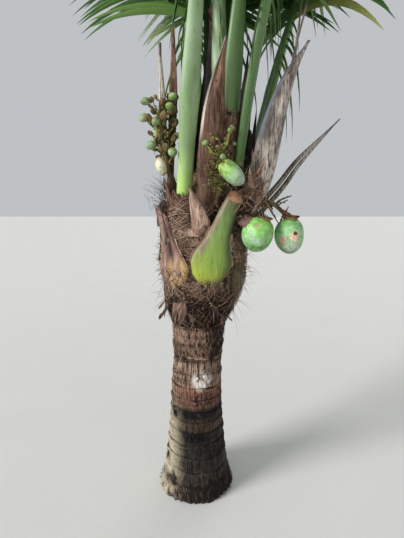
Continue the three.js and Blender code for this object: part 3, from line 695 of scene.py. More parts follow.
def bract_skin(name, light, middle, dark, rim, roughness=0.75):
    """A dry bract: grooved along its length and blotched, with painted shade on its left and at its foot, and its own
    colour on its left margin.
    """
    f = Finish(name, roughness, 0.2)
    along, across = f.mark("along"), f.mark("across")
    grooves = f.noise(150, (1, 1, 0.04), 8, 0.3)
    creases = f.noise(110, (1, 1, 0.34), 7, 0.4)
    folds = f.plus(f.times(grooves, 0.62), f.times(creases, 0.38))
    skin = f.ramp(folds, [(0.38, dark), (0.48, middle), (0.57, light)])
    broad = f.blend(f.span(f.noise(40, (1, 1, 0.06), 4), 0.5, 0.62, 0.5), skin, light)
    stains_and_shade = f.blend(f.span(f.noise(9, (1, 1, 0.5), 6), 0.5, 0.66, 0.7), broad, dark)
    shade = f.math("MAXIMUM", f.span(across, 0.25, 0.65, 0.6), f.span(along, 0.3, 0.12, 0.7))
    f.relief(folds, 0.005)
    margin = f.times(f.span(across, 0.76, 0.9), f.span(along, 0.42, 0.6))
    return f.paint(f.blend(margin, f.blend(shade, stains_and_shade, dark), rim))


def petiole_skin(name, foot, middle, wax, bloom):
    """A waxy leaf stalk with its own colour where it leaves its sheath, under some pale bloom."""
    f = Finish(name, 0.38, 0.5)
    streaks = f.noise(30, (1, 1, 0.08), 5)
    clouds = f.span(f.noise(7, (1, 1, 0.4), 5), 0.4, 0.68)
    skin = f.ramp(f.mark("along"), [(0.0, foot), (0.16, foot), (0.36, middle), (1.0, middle)])
    striped = f.blend(f.span(streaks, 0.5, 0.66, 0.3), skin, (70, 98, 54))
    waxed = f.blend(f.times(clouds, bloom), striped, wax)
    scuffs = f.span(f.noise(60, (1, 1, 0.2), 3), 0.66, 0.72, 0.5)
    f.relief(streaks, 0.002)
    return f.paint(f.blend(scuffs, waxed, (84, 84, 58)), f.plus(0.3, f.times(clouds, 0.25)))


def husk(name, crown, side, tip, bloom, scabs=()):
    """A nut husk, shaded from its cap to its tip, with bloom, mottling, fine streaks and specks, and any scabs."""
    f = Finish(name, 0.44, 0.4)
    along = f.mark("along")
    cloud = f.noise(16, detail=6)
    mottle = f.noise(44, detail=7, middle=(2, 5, 1))
    skin = f.ramp(f.moved(along, cloud, 0.3), [(0.05, crown), (0.45, side), (0.9, tip)])
    dusty = f.blend(f.times(f.span(cloud, 0.44, 0.64, bloom), f.span(along, 0.2, 0.6)), skin, (206, 220, 206))
    pale = f.blend(f.span(mottle, 0.52, 0.66, 0.32), dusty, (222, 236, 206))
    streaks = f.times(f.span(f.noise(90, (1, 1, 0.12), 4), 0.5, 0.62, 0.5), f.span(along, 0.35, 0.85))
    worn = f.math("MAXIMUM", f.span(mottle, 0.46, 0.34, 0.6), streaks)
    colour = f.blend(worn, pale, (172, 178, 158), "MULTIPLY")
    grain = f.noise(62, detail=5)
    for point, radius, light, dark in scabs:
        torn = f.times(f.span(f.moved(f.near(point, radius), grain, 3.2), 0.5, 0.75), f.near(point, radius * 1.1))
        colour = f.blend(torn, colour, f.blend(f.span(f.noise(170), 0.42, 0.6), light, dark))
    marks = f.times(f.span(f.speckle(85), 0.15, 0.06, 0.6), f.span(f.noise(24, detail=3), 0.46, 0.6))
    f.relief(f.plus(cloud, f.times(mottle, 0.6)), 0.0022)
    return f.paint(f.blend(marks, colour, (112, 98, 62)), f.plus(0.36, f.times(cloud, 0.26)))


# Trunk and heart


def trunk_radius(z):
    swell = TRUNK["swell"] * smooth(TRUNK["swell_from"] * MM, TRUNK["rings"][-1] * MM, z)
    return (TRUNK["neck"] + TRUNK["flare"] * np.exp(-z / (TRUNK["flare_fade"] * MM)) + swell) * MM


def build_trunk():
    """The ringed stem as a fine skin: uneven lips and grooves, a ledge, fissures, and knobs of root at the foot."""
    turn, z = np.meshgrid(circle(TRUNK["columns"]), np.linspace(0, TRUNK["rings"][-1] * MM, TRUNK["rows"]))

    def grain(sideways, upwards, level=z):
        return noise(sideways * np.cos(turn), sideways * np.sin(turn), upwards * level)

    edges = np.array([0, *TRUNK["rings"]]) * MM
    wander = 0.012 * grain(1.3, 7) + 0.006 * grain(2.6, 24)
    level = z + wander + 0.0025 * grain(11, 40)
    ring = np.clip(np.searchsorted(edges, level, "right") - 1, 0, len(edges) - 2)
    share = (level - edges[ring]) / (edges[ring + 1] - edges[ring])
    strength = (0.5 + LATTICE[3, 5, ring % CELLS]) * (0.75 + 0.6 * grain(2.4, 9))
    groove = strength * (bell(share, 0.085) + bell(1 - share, 0.03))
    lines = np.clip(grain(2.2, 150, level) - 0.2, 0, 1)
    patch = smooth(-0.15, 0.4, grain(3, 12))
    fissure = np.clip(1 - np.abs(grain(30, 20)) / 0.2, 0, 1) * patch * smooth(0.04, 0.2, share)
    fissure *= 1 - 0.6 * smooth(0.68, 0.76, z)
    ragged = grain(13, 60) + 0.8 * grain(31, 120)
    over = level - edges[TRUNK["rings"].index(LEDGE) + 1]
    toward = np.cos(turn + 0.9)
    broken = smooth(-0.55, 0.1, grain(6, 20))
    ledge = bell(over - 0.008, 0.0075) * smooth(0.0, 0.75, toward) * broken
    gap = bell(over + 0.008, 0.009) * (0.75 - 0.45 * toward) * (0.4 + 0.6 * broken)
    lip = RELIEF["lip"] * strength * smooth(0.4, 0.9, share) - RELIEF["groove"] * groove
    lip = lip + RELIEF["ledge"] * ledge - RELIEF["gap"] * gap
    lobes = TRUNK["lobe_depth"] * np.exp(-z / (TRUNK["lobe_fade"] * MM)) * np.cos(TRUNK["lobes"] * turn)
    knobs = RELIEF["knob"] * np.exp(-z / 0.07) * grain(15, 22)
    rough = trunk_radius(z) * (1 + lobes) + lip - RELIEF["fissure"] * fissure - RELIEF["line"] * lines
    radius = rough + RELIEF["grain"] * ragged + knobs
    # Painted shade in the ring grooves, fissures, fine lines and the gap under the ledge, and a painted highlight
    # along the ledge, passed to the bark as its along and across marks.
    dark = np.clip(0.85 * groove + 0.45 * fissure + 0.8 * lines + 0.9 * gap, 0, 1)
    shape = Shape()
    shape.solid(off_stem(turn, radius, z), along=dark, across=np.clip(ledge, 0, 1))
    piece("trunk_bark", shape, [bark()], "bark", "trunk")


def heart_surface(turn, z):
    """The heart's skin with its sheaths, as points at a turn round the stem's axis and a height."""
    radius = on_line(HEART_PROFILE, z / MM) * MM
    for sheath in SHEATHS:
        share = (z / MM - sheath["from"]) / (sheath["to"] - sheath["from"])
        bulge = on_line([(0, 1), (0.7, SHEATH_BULGE), (1, 1)], share)
        size = sheath["radius"] * MM * bulge * smooth(-SHEATH_TAPER, 0, share)
        cx, cy = sheath["at"][0] * MM - stem_x(z), sheath["at"][1] * MM
        reach = cx * np.cos(turn) + cy * np.sin(turn)
        inside = size**2 - (cx**2 + cy**2 - reach**2)
        found = (share >= -SHEATH_TAPER) & (share <= 1) & (inside > 0)
        far = reach + np.sqrt(np.maximum(inside, 0))
        radius = np.where(found, np.maximum(radius, far), radius)
    return off_stem(turn, radius, z)


def build_heart(skin):
    bottom, top = HEART_PROFILE[0][0] * MM, HEART_PROFILE[-1][0] * MM
    turn, z = np.meshgrid(circle(HEART_MESH["columns"]), np.linspace(bottom + 0.0005, top, HEART_MESH["rows"]))
    cos, sin = np.cos(turn), np.sin(turn)
    folds = 0.006 * noise(4 * cos + 3 * z, 4 * sin, 9 * z) + 0.003 * noise(14 * cos, 14 * sin, 40 * z)
    bumps = 0.0016 * noise(34 * cos, 34 * sin, 90 * z)
    push = (folds + bumps - 0.002) * smooth(bottom, bottom + 0.03, z)
    shape = Shape()
    shape.solid(heart_surface(turn, z) + push[..., None] * outward(turn))
    piece("crown_heart_mat", shape, [skin], "sheath_fibre", "crown_heart")


def lay_mat(shape, rng, steps):
    """Strands laid over the heart both ways, made dark as painted shade in its hollows and low down."""
    each = (MAT_STRANDS, 1)
    start = rng.uniform(0, 2 * np.pi, each)
    level = rng.uniform(0.89, 1.56, each)
    slope = rng.choice([-1, 1], each) * rng.uniform(0.4, 1.45, each)
    length = rng.uniform(0.03, 0.15, each)
    turn = start + np.sin(slope) * length / 0.15 * (steps + rng.normal(0, 0.25, each) * steps**2)
    lines = heart_surface(turn, np.clip(level - np.cos(slope) * length * steps, 0.866, 1.6))
    lift = 0.0035 + 0.005 * rng.random(each) * np.sin(np.pi * steps)
    dark = 0.92 * smooth(1.12, 0.99, level[:, 0])
    for point, radius in HOLLOWS:
        away = np.linalg.norm(lines[:, 0] - point, axis=-1)
        dark = np.maximum(dark, 0.8 * smooth(radius, radius * 0.45, away))
    kind = np.where(rng.random(MAT_STRANDS) < dark, 0, rng.choice(3, MAT_STRANDS, p=[0.2, 0.48, 0.32]))
    lines += outward(turn) * lift[..., None]
    shape.ribbons(lines, outward(turn), rng.uniform(0.0008, 0.0026, MAT_STRANDS), kind)


def hang_skirt(shape, rng, steps):
    """Short dark hair that hangs from the heart over the trunk's top."""
    each = (SKIRT_STRANDS, 1)
    start = rng.uniform(0, 2 * np.pi, each)
    level = rng.uniform(0.9, 1.0, each)
    tufts = 0.7 + 0.5 * noise(3 * np.cos(start), 3 * np.sin(start), 0)
    length = rng.uniform(0.015, 0.085, each) * tufts
    turn = start + rng.normal(0, 0.25, each) * steps
    z = level - length * steps
    top = heart_surface(start, level)
    radius = np.hypot(top[..., 0] - stem_x(level), top[..., 1])
    inward = smooth(0.0, 1.0, steps) * rng.uniform(0.0, 0.03, each)
    reach = np.maximum(radius + 0.004 - inward, trunk_radius(z) + 0.003)
    shape.strands(rng, off_stem(turn, reach, z), outward(turn), (0.001, 0.0026), [0.84, 0.14, 0.02])


def lay_hairs(shape, rng, steps):
    """Loose hairs that lie on the upper trunk."""
    each = (TRUNK_HAIRS, 1)
    start = rng.uniform(0, 2 * np.pi, each)
    level = rng.uniform(0.72, 0.9, each)
    drop = rng.uniform(0.01, 0.07, each)
    turn = start + rng.uniform(-0.25, 0.45, each) * steps
    z = level - drop * steps
    lift = 0.003 + 0.004 * np.sin(np.pi * steps)[:, None]
    lines = off_stem(turn, trunk_radius(z), z) + outward(turn) * lift
    shape.strands(rng, lines, outward(turn), (0.0008, 0.0018), [0.3, 0.35, 0.35])


def add_strays(shape, rng, steps):
    """Strands that stand out of the heart and sag."""
    each = (STRAY_STRANDS, 1)
    start = rng.uniform(0, 2 * np.pi, each)
    root = heart_surface(start, rng.uniform(0.93, 1.5, each))
    way = unit(outward(start) + rng.normal(0, 0.55, (*each, 3)))
    length = rng.uniform(0.03, 0.1, each)
    sag = rng.uniform(0.2, 0.9, each) * length
    lines = root + way * (length * steps)[..., None]
    lines[..., 2] -= sag * steps**2
    shape.strands(rng, lines, unit(np.cross(way, [0.2, 0.3, 1])), (0.0008, 0.0018), [0.3, 0.4, 0.3])


def add_rootlets(shape, rng, steps):
    """Short roots that lie on the trunk's foot, most on its right."""
    each = (ROOTLETS, 1)
    start = rng.normal(-0.5, 1.7, each)
    z = rng.uniform(0.015, 0.12, each) * (1 - steps * rng.uniform(0.5, 0.95, each))
    turn = start + rng.normal(0, 0.12, each) * steps
    lines = off_stem(turn, trunk_radius(z), z) + outward(turn) * (0.004 + 0.008 * steps**2)[:, None]
    shape.strands(rng, lines, outward(turn), (0.001, 0.0028), [0.94, 0.06])


def build_fibres(browns):
    rng = np.random.default_rng(SEED + 1)
    steps = np.linspace(0, 1, 6)
    shape, roots = Shape(), Shape()
    for add in (lay_mat, hang_skirt, lay_hairs, add_strays):
        add(shape, rng, steps)
    piece("crown_fibres", shape, browns, "sheath_fibre")
    add_rootlets(roots, rng, steps)
    piece("foot_rootlets", roots, browns, "bark")


def add_scrap(shape, foot, way, facing, length, width, curl, slot, rng):
    """A torn strip of dry sheath: grooved, curled across and along, and ragged at its end."""
    t, u = np.meshgrid(np.linspace(0, 1, 12), np.linspace(-1, 1, 9), indexing="ij")
    way, facing = unit(np.array(way, float)), np.array(facing, float)
    out = unit(facing - np.dot(facing, way) * way)
    side = np.cross(way, out)
    reach = t * (1 - 0.35 * np.abs(noise(3 * u, rng.uniform(0, 30), 0)))
    half = width / 2 * (0.75 + 0.35 * np.sin(np.pi * np.minimum(1, t + 0.15))) * (1 - 0.45 * t**3)
    rise = curl * length * t**2 - 0.35 * half * u**2 + 0.0025 * noise(4 * u, 3 * t, rng.uniform(0, 30))
    rows = foot + way * (length * reach)[..., None] + side * (half * u)[..., None] + out * (rise + 0.004)[..., None]
    shape.grid(rows, False, slot, 0.35)


def build_scraps(skins):
    """Scraps that hang from the skirt or stand up between the leaf bases, and the flaps that show in front."""
    rng = np.random.default_rng(SEED + 2)
    shape = Shape()
    for i in range(SCRAPS):
        hanging = i % 2
        turn = np.array(rng.uniform(0, 2 * np.pi))
        level = np.array(rng.uniform(0.9, 0.99) if hanging else rng.uniform(1.12, 1.42))
        out = outward(turn)
        way = out * rng.uniform(-0.3, 0.25) + rng.normal(0, 0.15, 3) + [0, 0, -1 if hanging else 1]
        size = rng.uniform(0.04, 0.1) if hanging else rng.uniform(0.06, 0.15)
        wide = rng.uniform(0.012, 0.034)
        slot = 3 if hanging else i // 2 % 3
        add_scrap(shape, heart_surface(turn, level), way, out, size, wide, rng.uniform(-0.2, 0.4), slot, rng)
    for flap in FLAPS:
        foot, length, width = (np.array(flap[key]) * MM for key in ("foot", "length", "width"))
        add_scrap(shape, foot, flap["way"], flap["facing"], length, width, flap["curl"], flap["skin"], rng)
    piece("sheath_scraps", shape, skins, "dry_bract")


def add_wrap(shape, threads, rng, number, share):
    """A fibre wrap round the foot of a leaf stalk, with threads wound round it and a fringe at its top."""
    _, *line = frond_line(FRONDS[number - 1], WRAP["rows"] + 1)
    at, along, x, y = (part[1:int(share * WRAP["rows"])] for part in line)
    flat = WRAP["flat"]
    lumps = 1 + 0.05 * np.sin(np.arange(len(at)) * 0.4)
    size = np.linspace(WRAP["foot"] * MM, WRAP["top"] * MM, len(at)) * lumps * FRONDS[number - 1]["broad"]
    rows = ring_points(at, x, y, size, size * flat, WRAP["sides"])
    turn = circle(WRAP["sides"])
    rows[-1] += along[-1] * 0.05 * noise(3 * np.cos(turn), 3 * np.sin(turn), number)[:, None]
    shape.grid(rows)

    steps = np.linspace(0, 1, 5)
    each = (WRAP["threads"], 1)
    start, side = rng.integers(0, len(at), each), rng.uniform(0, 2 * np.pi, each)
    turned = side + rng.uniform(-2.2, 2.2, each) * steps
    row = np.minimum(start + (rng.uniform(0, 30, each) * steps).astype(int), len(at) - 1)
    out = np.cos(turned)[..., None] * x[row] + np.sin(turned)[..., None] * flat * y[row]
    lines = at[row] + out * (size[row] / 2 + 0.002)[..., None]
    threads.strands(rng, lines, unit(out), (0.0008, 0.002), [0.5, 0.4, 0.1])

    each = (WRAP["fringe"], 1, 1)
    side = rng.uniform(0, 2 * np.pi, each)
    out = np.cos(side) * x[-1] + np.sin(side) * flat * y[-1]
    reach = rng.uniform(0.006, 0.03, each)
    lean = unit(along[-1] + 0.5 * rng.normal(0, 1, (WRAP["fringe"], 1, 3)))
    steps = steps[:, None]
    lines = at[-1] + out * size[-1] / 2 + reach * (lean * steps + 0.3 * out * steps**2)
    threads.strands(rng, lines, unit(out), (0.0012, 0.0026), [0.3, 0.4, 0.3])


def add_tangle(threads, rng, tangle):
    """A ball of crossing strands, or a broom that fans out, with florets on the strands of a green one."""
    steps = np.linspace(0, 1, 5)[:, None]
    strands, reach = tangle["strands"], tangle["spread"] * MM
    broom = "way" in tangle
    scatter, bow, lengths = (0.1, 0.15, (0.4, 1.0)) if broom else (0.5, 0.35, (0.6, 1.5))
    each = (strands, 1, 3)
    middle = np.array(tangle["at"]) * MM + rng.normal(0, scatter, each) * reach
    aim = 2 * unit(np.array(tangle["way"])) if broom else np.zeros(3)
    way = unit(rng.normal(0, 1, each) + aim)
    bowed = rng.normal(0, bow, each) * steps**2
    length = rng.uniform(*lengths, (strands, 1, 1)) * reach
    lines = middle + length * (way * (steps if broom else steps - 0.5) + bowed)
    facing = unit(np.cross(way, [0.1, 1.0, 0.2]))
    threads.strands(rng, lines, facing, (0.0018, 0.0044), MIXES[tangle["mix"]])
    if tangle["mix"] == "green":
        buds = lines[:, -1:] + 0.01 * unit(rng.normal(0, 1, each)) * steps
        threads.ribbons(buds, facing, rng.uniform(0.003, 0.006, strands), rng.choice([3, 4, 1], strands))


def build_wraps(skin, thread_skins):
    """Dark fibre that still wraps the lower stalks of leaves, and the tangles of loose fibre and twig."""
    rng = np.random.default_rng(SEED + 3)
    shape, threads = Shape(), Shape()
    for number, share in WRAPS:
        add_wrap(shape, threads, rng, number, share)
    for tangle in TANGLES:
        add_tangle(threads, rng, tangle)
    piece("young_leaf_wraps", shape, [skin], "sheath_fibre")
    piece("wrap_threads", threads, thread_skins, "sheath_fibre")


# Leaf bases and bracts


def base_line(spec):
    """The base's middle line, from the part's own rule."""
    level = spec["level"] * MM
    rim = on_line(HEART_PROFILE, spec["level"]) + BASE["proud"]
    points = []
    for t in (0, 0.25, 0.5, 0.75, 1):
        out = around(spec["heading"], (rim + spec["out"] * t**1.5) * MM)
        aside = around(spec["heading"] + 90, spec["aside"] * MM * t**1.7)
        points.append(np.array([stem_x(level), 0, level]) + out + aside + np.array([0, 0, spec["height"] * MM * t]))
    return points


def build_base(spec, skin, face, browns):
    """A leaf base: a wide rounded shield that narrows to a stalk, with a fresh slanting cut or a ragged cleft end."""
    count, (end_width, end_depth) = BASE["steps"], spec["end"]
    at, along = smooth_line(base_line(spec), count)
    x, y = side_axes(along, around(spec["heading"], 1))
    t = np.linspace(0, 1, count)
    narrow = end_width / (BASE_SHARE[-1][1] * BASE["width"])
    width = BASE["width"] * on_line(BASE_SHARE, t) * mix(1, narrow, t) * MM
    depth = mix(BASE["depth"], end_depth, t) * np.minimum(1, 0.55 + 3 * t) * MM
    rows = ring_points(at, x, y, width, depth, BASE["sides"], 0.92)
    t = t[:, None]
    cos, sin = np.cos(circle(BASE["sides"])), np.sin(circle(BASE["sides"]))
    ribs = 0.0012 * noise(9 * cos, 9 * sin, 2 * t)
    rows = rows + unit(rows - at[:, None]) * ribs[..., None]
    green = "cut" in spec["name"]
    if green:
        rows -= along[:, None] * (smooth(0.8, 1, t) * (CUT_SLANT * sin / 2 * end_depth * MM))[..., None]
    else:
        cleft = 0.85 * smooth(0.3, 0.6, t) * bell(cos + 0.25, 0.22) * sin
        rows -= y[:, None] * (cleft * depth[:, None] / 2)[..., None]
        torn = 0.03 * noise(2.5 * cos, 2.5 * sin, spec["heading"]) - 0.04 * smooth(-0.2, -0.4, cos)
        rows += along[:, None] * (smooth(0.75, 1, t) * torn)[..., None]
    shape = Shape()
    shape.grid(rows, along=t, across=cos)
    shape.cap(rows[0], flip=True)
    inner = at[-1] + (rows[-1] - at[-1]) * 0.93 - along[-1] * 0.002
    shape.grid(np.stack([rows[-1], inner]), along=1.0)
    shape.cap(inner, 1, dome=0.002)
    slot = "green_leaf_base" if green else "dead_leaf_base"
    piece(f"{spec['name']}_skin", shape, [skin, face], slot, spec["name"])
    fray = Shape()
    fray_base(fray, spec, at, along, x, y, width, depth)
    piece(f"{spec['name']}_fray", fray, browns, "sheath_fibre")


def fray_base(shape, spec, at, along, x, y, width, depth):
    """A frayed margin on each side of a leaf base, strands that hang from its foot, and tufts on its edges."""
    rng = np.random.default_rng(SEED + spec["level"])
    green, last = "cut" in spec["name"], len(at) - 1
    t = np.linspace(0, 1, len(at))
    some = (t > 0.22) & (t < 0.62)
    for hand in (1, -1):
        edge = at[some] + x[some] * (hand * width[some, None] / 2 * 0.97)
        reach = (0.004 + 0.005 * (1 + noise(30 * t[some], 0, hand)))[:, None]
        shape.grid(np.stack([edge, edge + (x[some] * hand + 0.3 * y[some]) * reach], axis=1), False, 2)

    steps = np.linspace(0, 1, 5)[:, None]
    strands = 60 if green else 120
    u = rng.uniform(-1, 1, strands)
    i = (rng.uniform(0.02, 0.1 if green else 0.3, strands) * last).astype(int)
    top = at[i] + x[i] * (u * width[i] / 2)[:, None] + y[i] * (depth[i] / 2 * np.sqrt(1 - u**2) + 0.003)[:, None]
    drop = top[:, 2] - rng.uniform(0.03, 0.08, strands)
    turned = np.arctan2(top[:, 1], top[:, 0] - stem_x(top[:, 2])) + rng.normal(0, 0.25, strands)
    low, out = heart_surface(turned, drop)[:, None], outward(turned)[:, None]
    lines = mix(top[:, None], low + out * 0.006, steps) + out * 0.012 * np.sin(np.pi * steps)
    shape.strands(rng, lines, out, (0.001, 0.0026), [0.34, 0.36, 0.3])

    each = (FRAY_STRANDS, 1)
    for hand in (-1, 1):
        i = (rng.uniform(0.02, 0.62, FRAY_STRANDS) * last).astype(int)
        root = at[i] + x[i] * (hand * width[i, None] / 2) - y[i] * 0.008
        way = unit(along[i] * rng.uniform(-0.8, 1.0, each) + x[i] * hand * 0.35 + y[i] * rng.uniform(0, 0.4, each))
        length = rng.uniform(0.015, 0.05, (*each, 1))
        shape.strands(rng, root[:, None] + way[:, None] * (length * steps), y[i][:, None], (0.0012, 0.0035))


def build_bract(spec, skin):
    """A dry boat-shaped bract: a thin keeled shell with wavy margins, or two narrow ones side by side."""
    widest, strips, wall = spec["widest"], spec["strips"], BRACT["wall"] * MM
    at, along = smooth_line(np.array(spec["line"]) * MM, BRACT["rows"])
    x, y = side_axes(along, around(spec["facing"], 1))
    t = np.linspace(0, 1, BRACT["rows"])[:, None]
    swell = np.maximum(0.06, np.sin(np.pi / 2 * np.minimum(t / widest, (1 - t) / (1 - widest))))
    full = spec["width"] * MM * np.where(t < widest, mix(0.55, 1, swell), swell)
    depth = spec["depth"] * MM * mix(0.35, 1, swell)
    u = np.linspace(1, -1, BRACT["columns"])
    shape = Shape()
    for strip in range(strips):
        width = full / strips * (1 if strips == 1 else 0.86)
        beside = (strip - (strips - 1) / 2) * full / strips
        shift = 9 * strip + spec["width"]
        wave = 1 + 0.06 * noise(6 * t, 1.7 * np.sign(u), shift)
        ripple = 0.0025 * noise(5 * u, 3 * t, shift)
        outer_x = u * width / 2 * wave
        outer_y = (1 - np.abs(u) ** 2.1) * depth / strips
        inner_x = (outer_x * (1 - 2 * wall / width))[:, ::-1]
        ox = np.concatenate([outer_x, inner_x], axis=1) + beside
        oy = np.concatenate([outer_y + ripple, (outer_y - wall + ripple)[:, ::-1]], axis=1)
        rows = at[:, None] + ox[..., None] * x[:, None] + oy[..., None] * y[:, None]
        shape.solid(rows, along=t, across=np.concatenate([u, u[::-1]]))
    piece(f"{spec['name']}_shell", shape, [skin], "dry_bract", spec["name"])


# Nut bunches


def add_nut(shape, at, way, length, width, slot, ridge=0.05, count=36):
    """A nut with three soft ridges, widest nearer its cap."""
    x, y = side_axes(way, NUT_FACING)
    t = ((1 - np.cos(np.linspace(0, np.pi, 26))) / 2)[:, None]
    radius = width / 2 * (1 - np.abs(2 * t**0.92 - 1) ** 2.15) ** 0.52
    turn = circle(count)
    ridged = radius * (1 + ridge * np.cos(3 * turn) * np.sin(np.pi * t))
    ring = np.cos(turn)[:, None] * x + np.sin(turn)[:, None] * y
    middle = at + way * ((t - 0.5) * length)
    shape.grid(middle[:, None] + ring * ridged[..., None], True, slot, t, np.cos(turn))


def add_calyx(shape, at, way, length, width, slot):
    """Overlapping scales that hold a nut's cap."""
    x, y = side_axes(way, NUT_FACING)
    cap = at - way * length * 0.5
    u, v = np.meshgrid(np.linspace(0, 1, 7), np.linspace(-1, 1, 9), indexing="ij")
    for layer, (reach, tilt) in enumerate(CALYX_LAYERS):
        for k in range(3):
            turn = 2 * np.pi * (k + layer / 2) / 3
            out = x * np.cos(turn) + y * np.sin(turn)
            spread = width * 0.3 * np.sin(np.pi * (0.12 + 0.88 * u) ** 0.8) * v
            lift = width * reach * np.sin(np.pi / 2 * u) - width * 0.05 * v**2
            drop = length * tilt * u**2.2 - 0.02 * length - 0.0025 * (2 - layer)
            rows = cap + out * lift[..., None] + np.cross(way, out) * spread[..., None] + way * drop[..., None]
            shape.grid(rows, False, slot)


def build_bunch(spec, finishes):
    """A stalk with branchlets by the part's rule, a finer set between them, young nuts, and the big nuts."""
    random = seeded(SEED)
    rng = np.random.default_rng(SEED + len(spec["name"]))
    reach, young, total = spec["length"] * MM, spec["young"] * MM, spec["branchlets"]
    at, along = smooth_line(np.array(spec["line"]) * MM, BUNCH["steps"])
    last = len(at) - 1
    wood, fruit = Shape(), Shape()
    tube(wood, (at, along), BUNCH["stalk"] * MM * (1 - 0.6 * np.linspace(0, 1, len(at))), 0, 12)
    twig_slot = 1 if young else 2

    def branchlet(i, length, thick, slot):
        k = int(mix(*BUNCH["places"], i / total) * last)
        side = unit(np.cross([0.0, 0.0, 1.0], along[k]))
        turn = math.radians(BUNCH["turn"] * i)
        turned = side * math.cos(turn) + np.cross(along[k], side) * math.sin(turn)
        way = unit(turned + along[k] * 0.7 + np.array([0, 0, 0.15]))
        end = at[k] + way * length
        twig = smooth_line([at[k], at[k] + way * length * 0.5 + rng.normal(0, 0.006, 3), end], 9)
        tube(wood, twig, mix(thick * MM, BUNCH["tip"] * MM, np.linspace(0, 1, 9)), slot, 6)
        for bud in range(5):
            root = twig[0][2 + bud]
            spur = smooth_line([root, root + unit(rng.normal(0, 1, 3)) * 0.009], 3)
            tube(wood, spur, np.array([0.003, 0.006, 0.002]), 2 if bud % 2 else twig_slot, 5)
        return end, way

    for i in range(total):
        length = reach * mix(0.75, 1.1, next(random))
        end, way = branchlet(i, length, BUNCH["branchlet"], twig_slot if i % 3 else 0)
        if young:
            size = young * mix(0.7, 1.1, next(random))
            down = unit(way + np.array([0, 0, -0.8]))
            add_nut(fruit, end, down, size * 1.15, size * 0.9, 0, 0.03, 16)
            add_calyx(fruit, end, down, size * 1.15, size, 2)
    for i in range(3 * total):
        length = reach * rng.uniform(*spec["fine"])
        end, way = branchlet(i / 3 + 0.25, length, BUNCH["fine"], 2 if i % 2 else twig_slot)
        if young:
            size = young * rng.uniform(0.4, 0.95)
            add_nut(fruit, end, way, size * 1.2, size * 0.86, 1, 0.03, 12)

    skins = [finishes["young"], finishes["calyx"], finishes["calyx"]]
    stops = at[[int(share * last) for share in (0.5, 0.6, 0.7, 0.8, 0.9, 0.97)]]
    for middle, way, length, width, finish in spec["nuts"]:
        middle, way, length, width = np.array(middle) * MM, unit(np.array(way, float)), length * MM, width * MM
        skins.append(finishes[finish])
        add_nut(fruit, middle, way, length, width, len(skins) - 1)
        add_calyx(fruit, middle, way, length, width, 1)
        cap = middle - way * 0.46 * length
        nearest = stops[np.argmin(np.linalg.norm(stops - cap, axis=1))]
        twig = smooth_line([nearest, (nearest + cap) / 2 + np.array([0, 0, 0.012]), cap], 10)
        tube(wood, twig, mix(0.015, 0.012, np.linspace(0, 1, 10)), 0, 10)
    woods = [finishes["stalk"], finishes["green_twig"], finishes["brown_twig"]]
    piece(f"{spec['name']}_stalks", wood, woods, "nuts", spec["name"])
    piece(f"{spec['name']}_fruit", fruit, skins, "nuts")


# Fronds


def frond_line(spec, count):
    """The frond's line by the part's rule: its points, directions, side axis x and back axis y."""
    t = np.linspace(0, 1, count)
    tilt = np.radians(spec["lean"] + spec["arch"] * t * t)[:, None]
    out = outward(np.radians(spec["heading"] + spec["veer"] * t))
    up = np.array([0.0, 0.0, 1.0])
    along = out * np.sin(tilt) + up * np.cos(tilt)
    y = out * np.cos(tilt) - up * np.sin(tilt)
    step = spec["length"] * MM / (count - 1)
    at = np.array(spec["foot"]) * MM + np.vstack([np.zeros(3), np.cumsum(along[:-1] * step, axis=0)])
    return t, at, along, np.cross(y, along), y


def build_stalk(shape, spec):
    """The petiole and the midrib past it: round at the back, channelled in front, then ridged."""
    t, at, _, x, y = frond_line(spec, FROND["rows"] + 1)
    split = FROND["petiole"]
    share = np.minimum(t / split, 1)
    past = np.maximum(0, (t - split) / (1 - split))
    width, depth = (
        np.where(
            t < split,
            on_line(FROND[side], share) * mix(spec["broad"], 1, share**4),
            mix(FROND["blade_start"][k], FROND["tip"][k], past),
        )[:, None] * MM
        for k, side in enumerate(("width", "depth"))
    )
    cos, sin = np.cos(circle(FROND["sides"])), np.sin(circle(FROND["sides"]))
    channel = np.where(sin < 0, 0.32 * bell(cos, 0.55), 0)
    ridge = np.where(sin < 0, 0.25 * bell(cos, 0.4), 0)
    front = mix(channel, -ridge, smooth(0, 0.12, past)[:, None])
    oy = (sin * np.where(sin > 0, 0.6, 0.45) + front * 0.9) * depth
    ox = cos * width / 2
    rows = at[:, None] + ox[..., None] * x[:, None] + oy[..., None] * y[:, None]
    shape.solid(rows, along=(t / split)[:, None], across=cos)


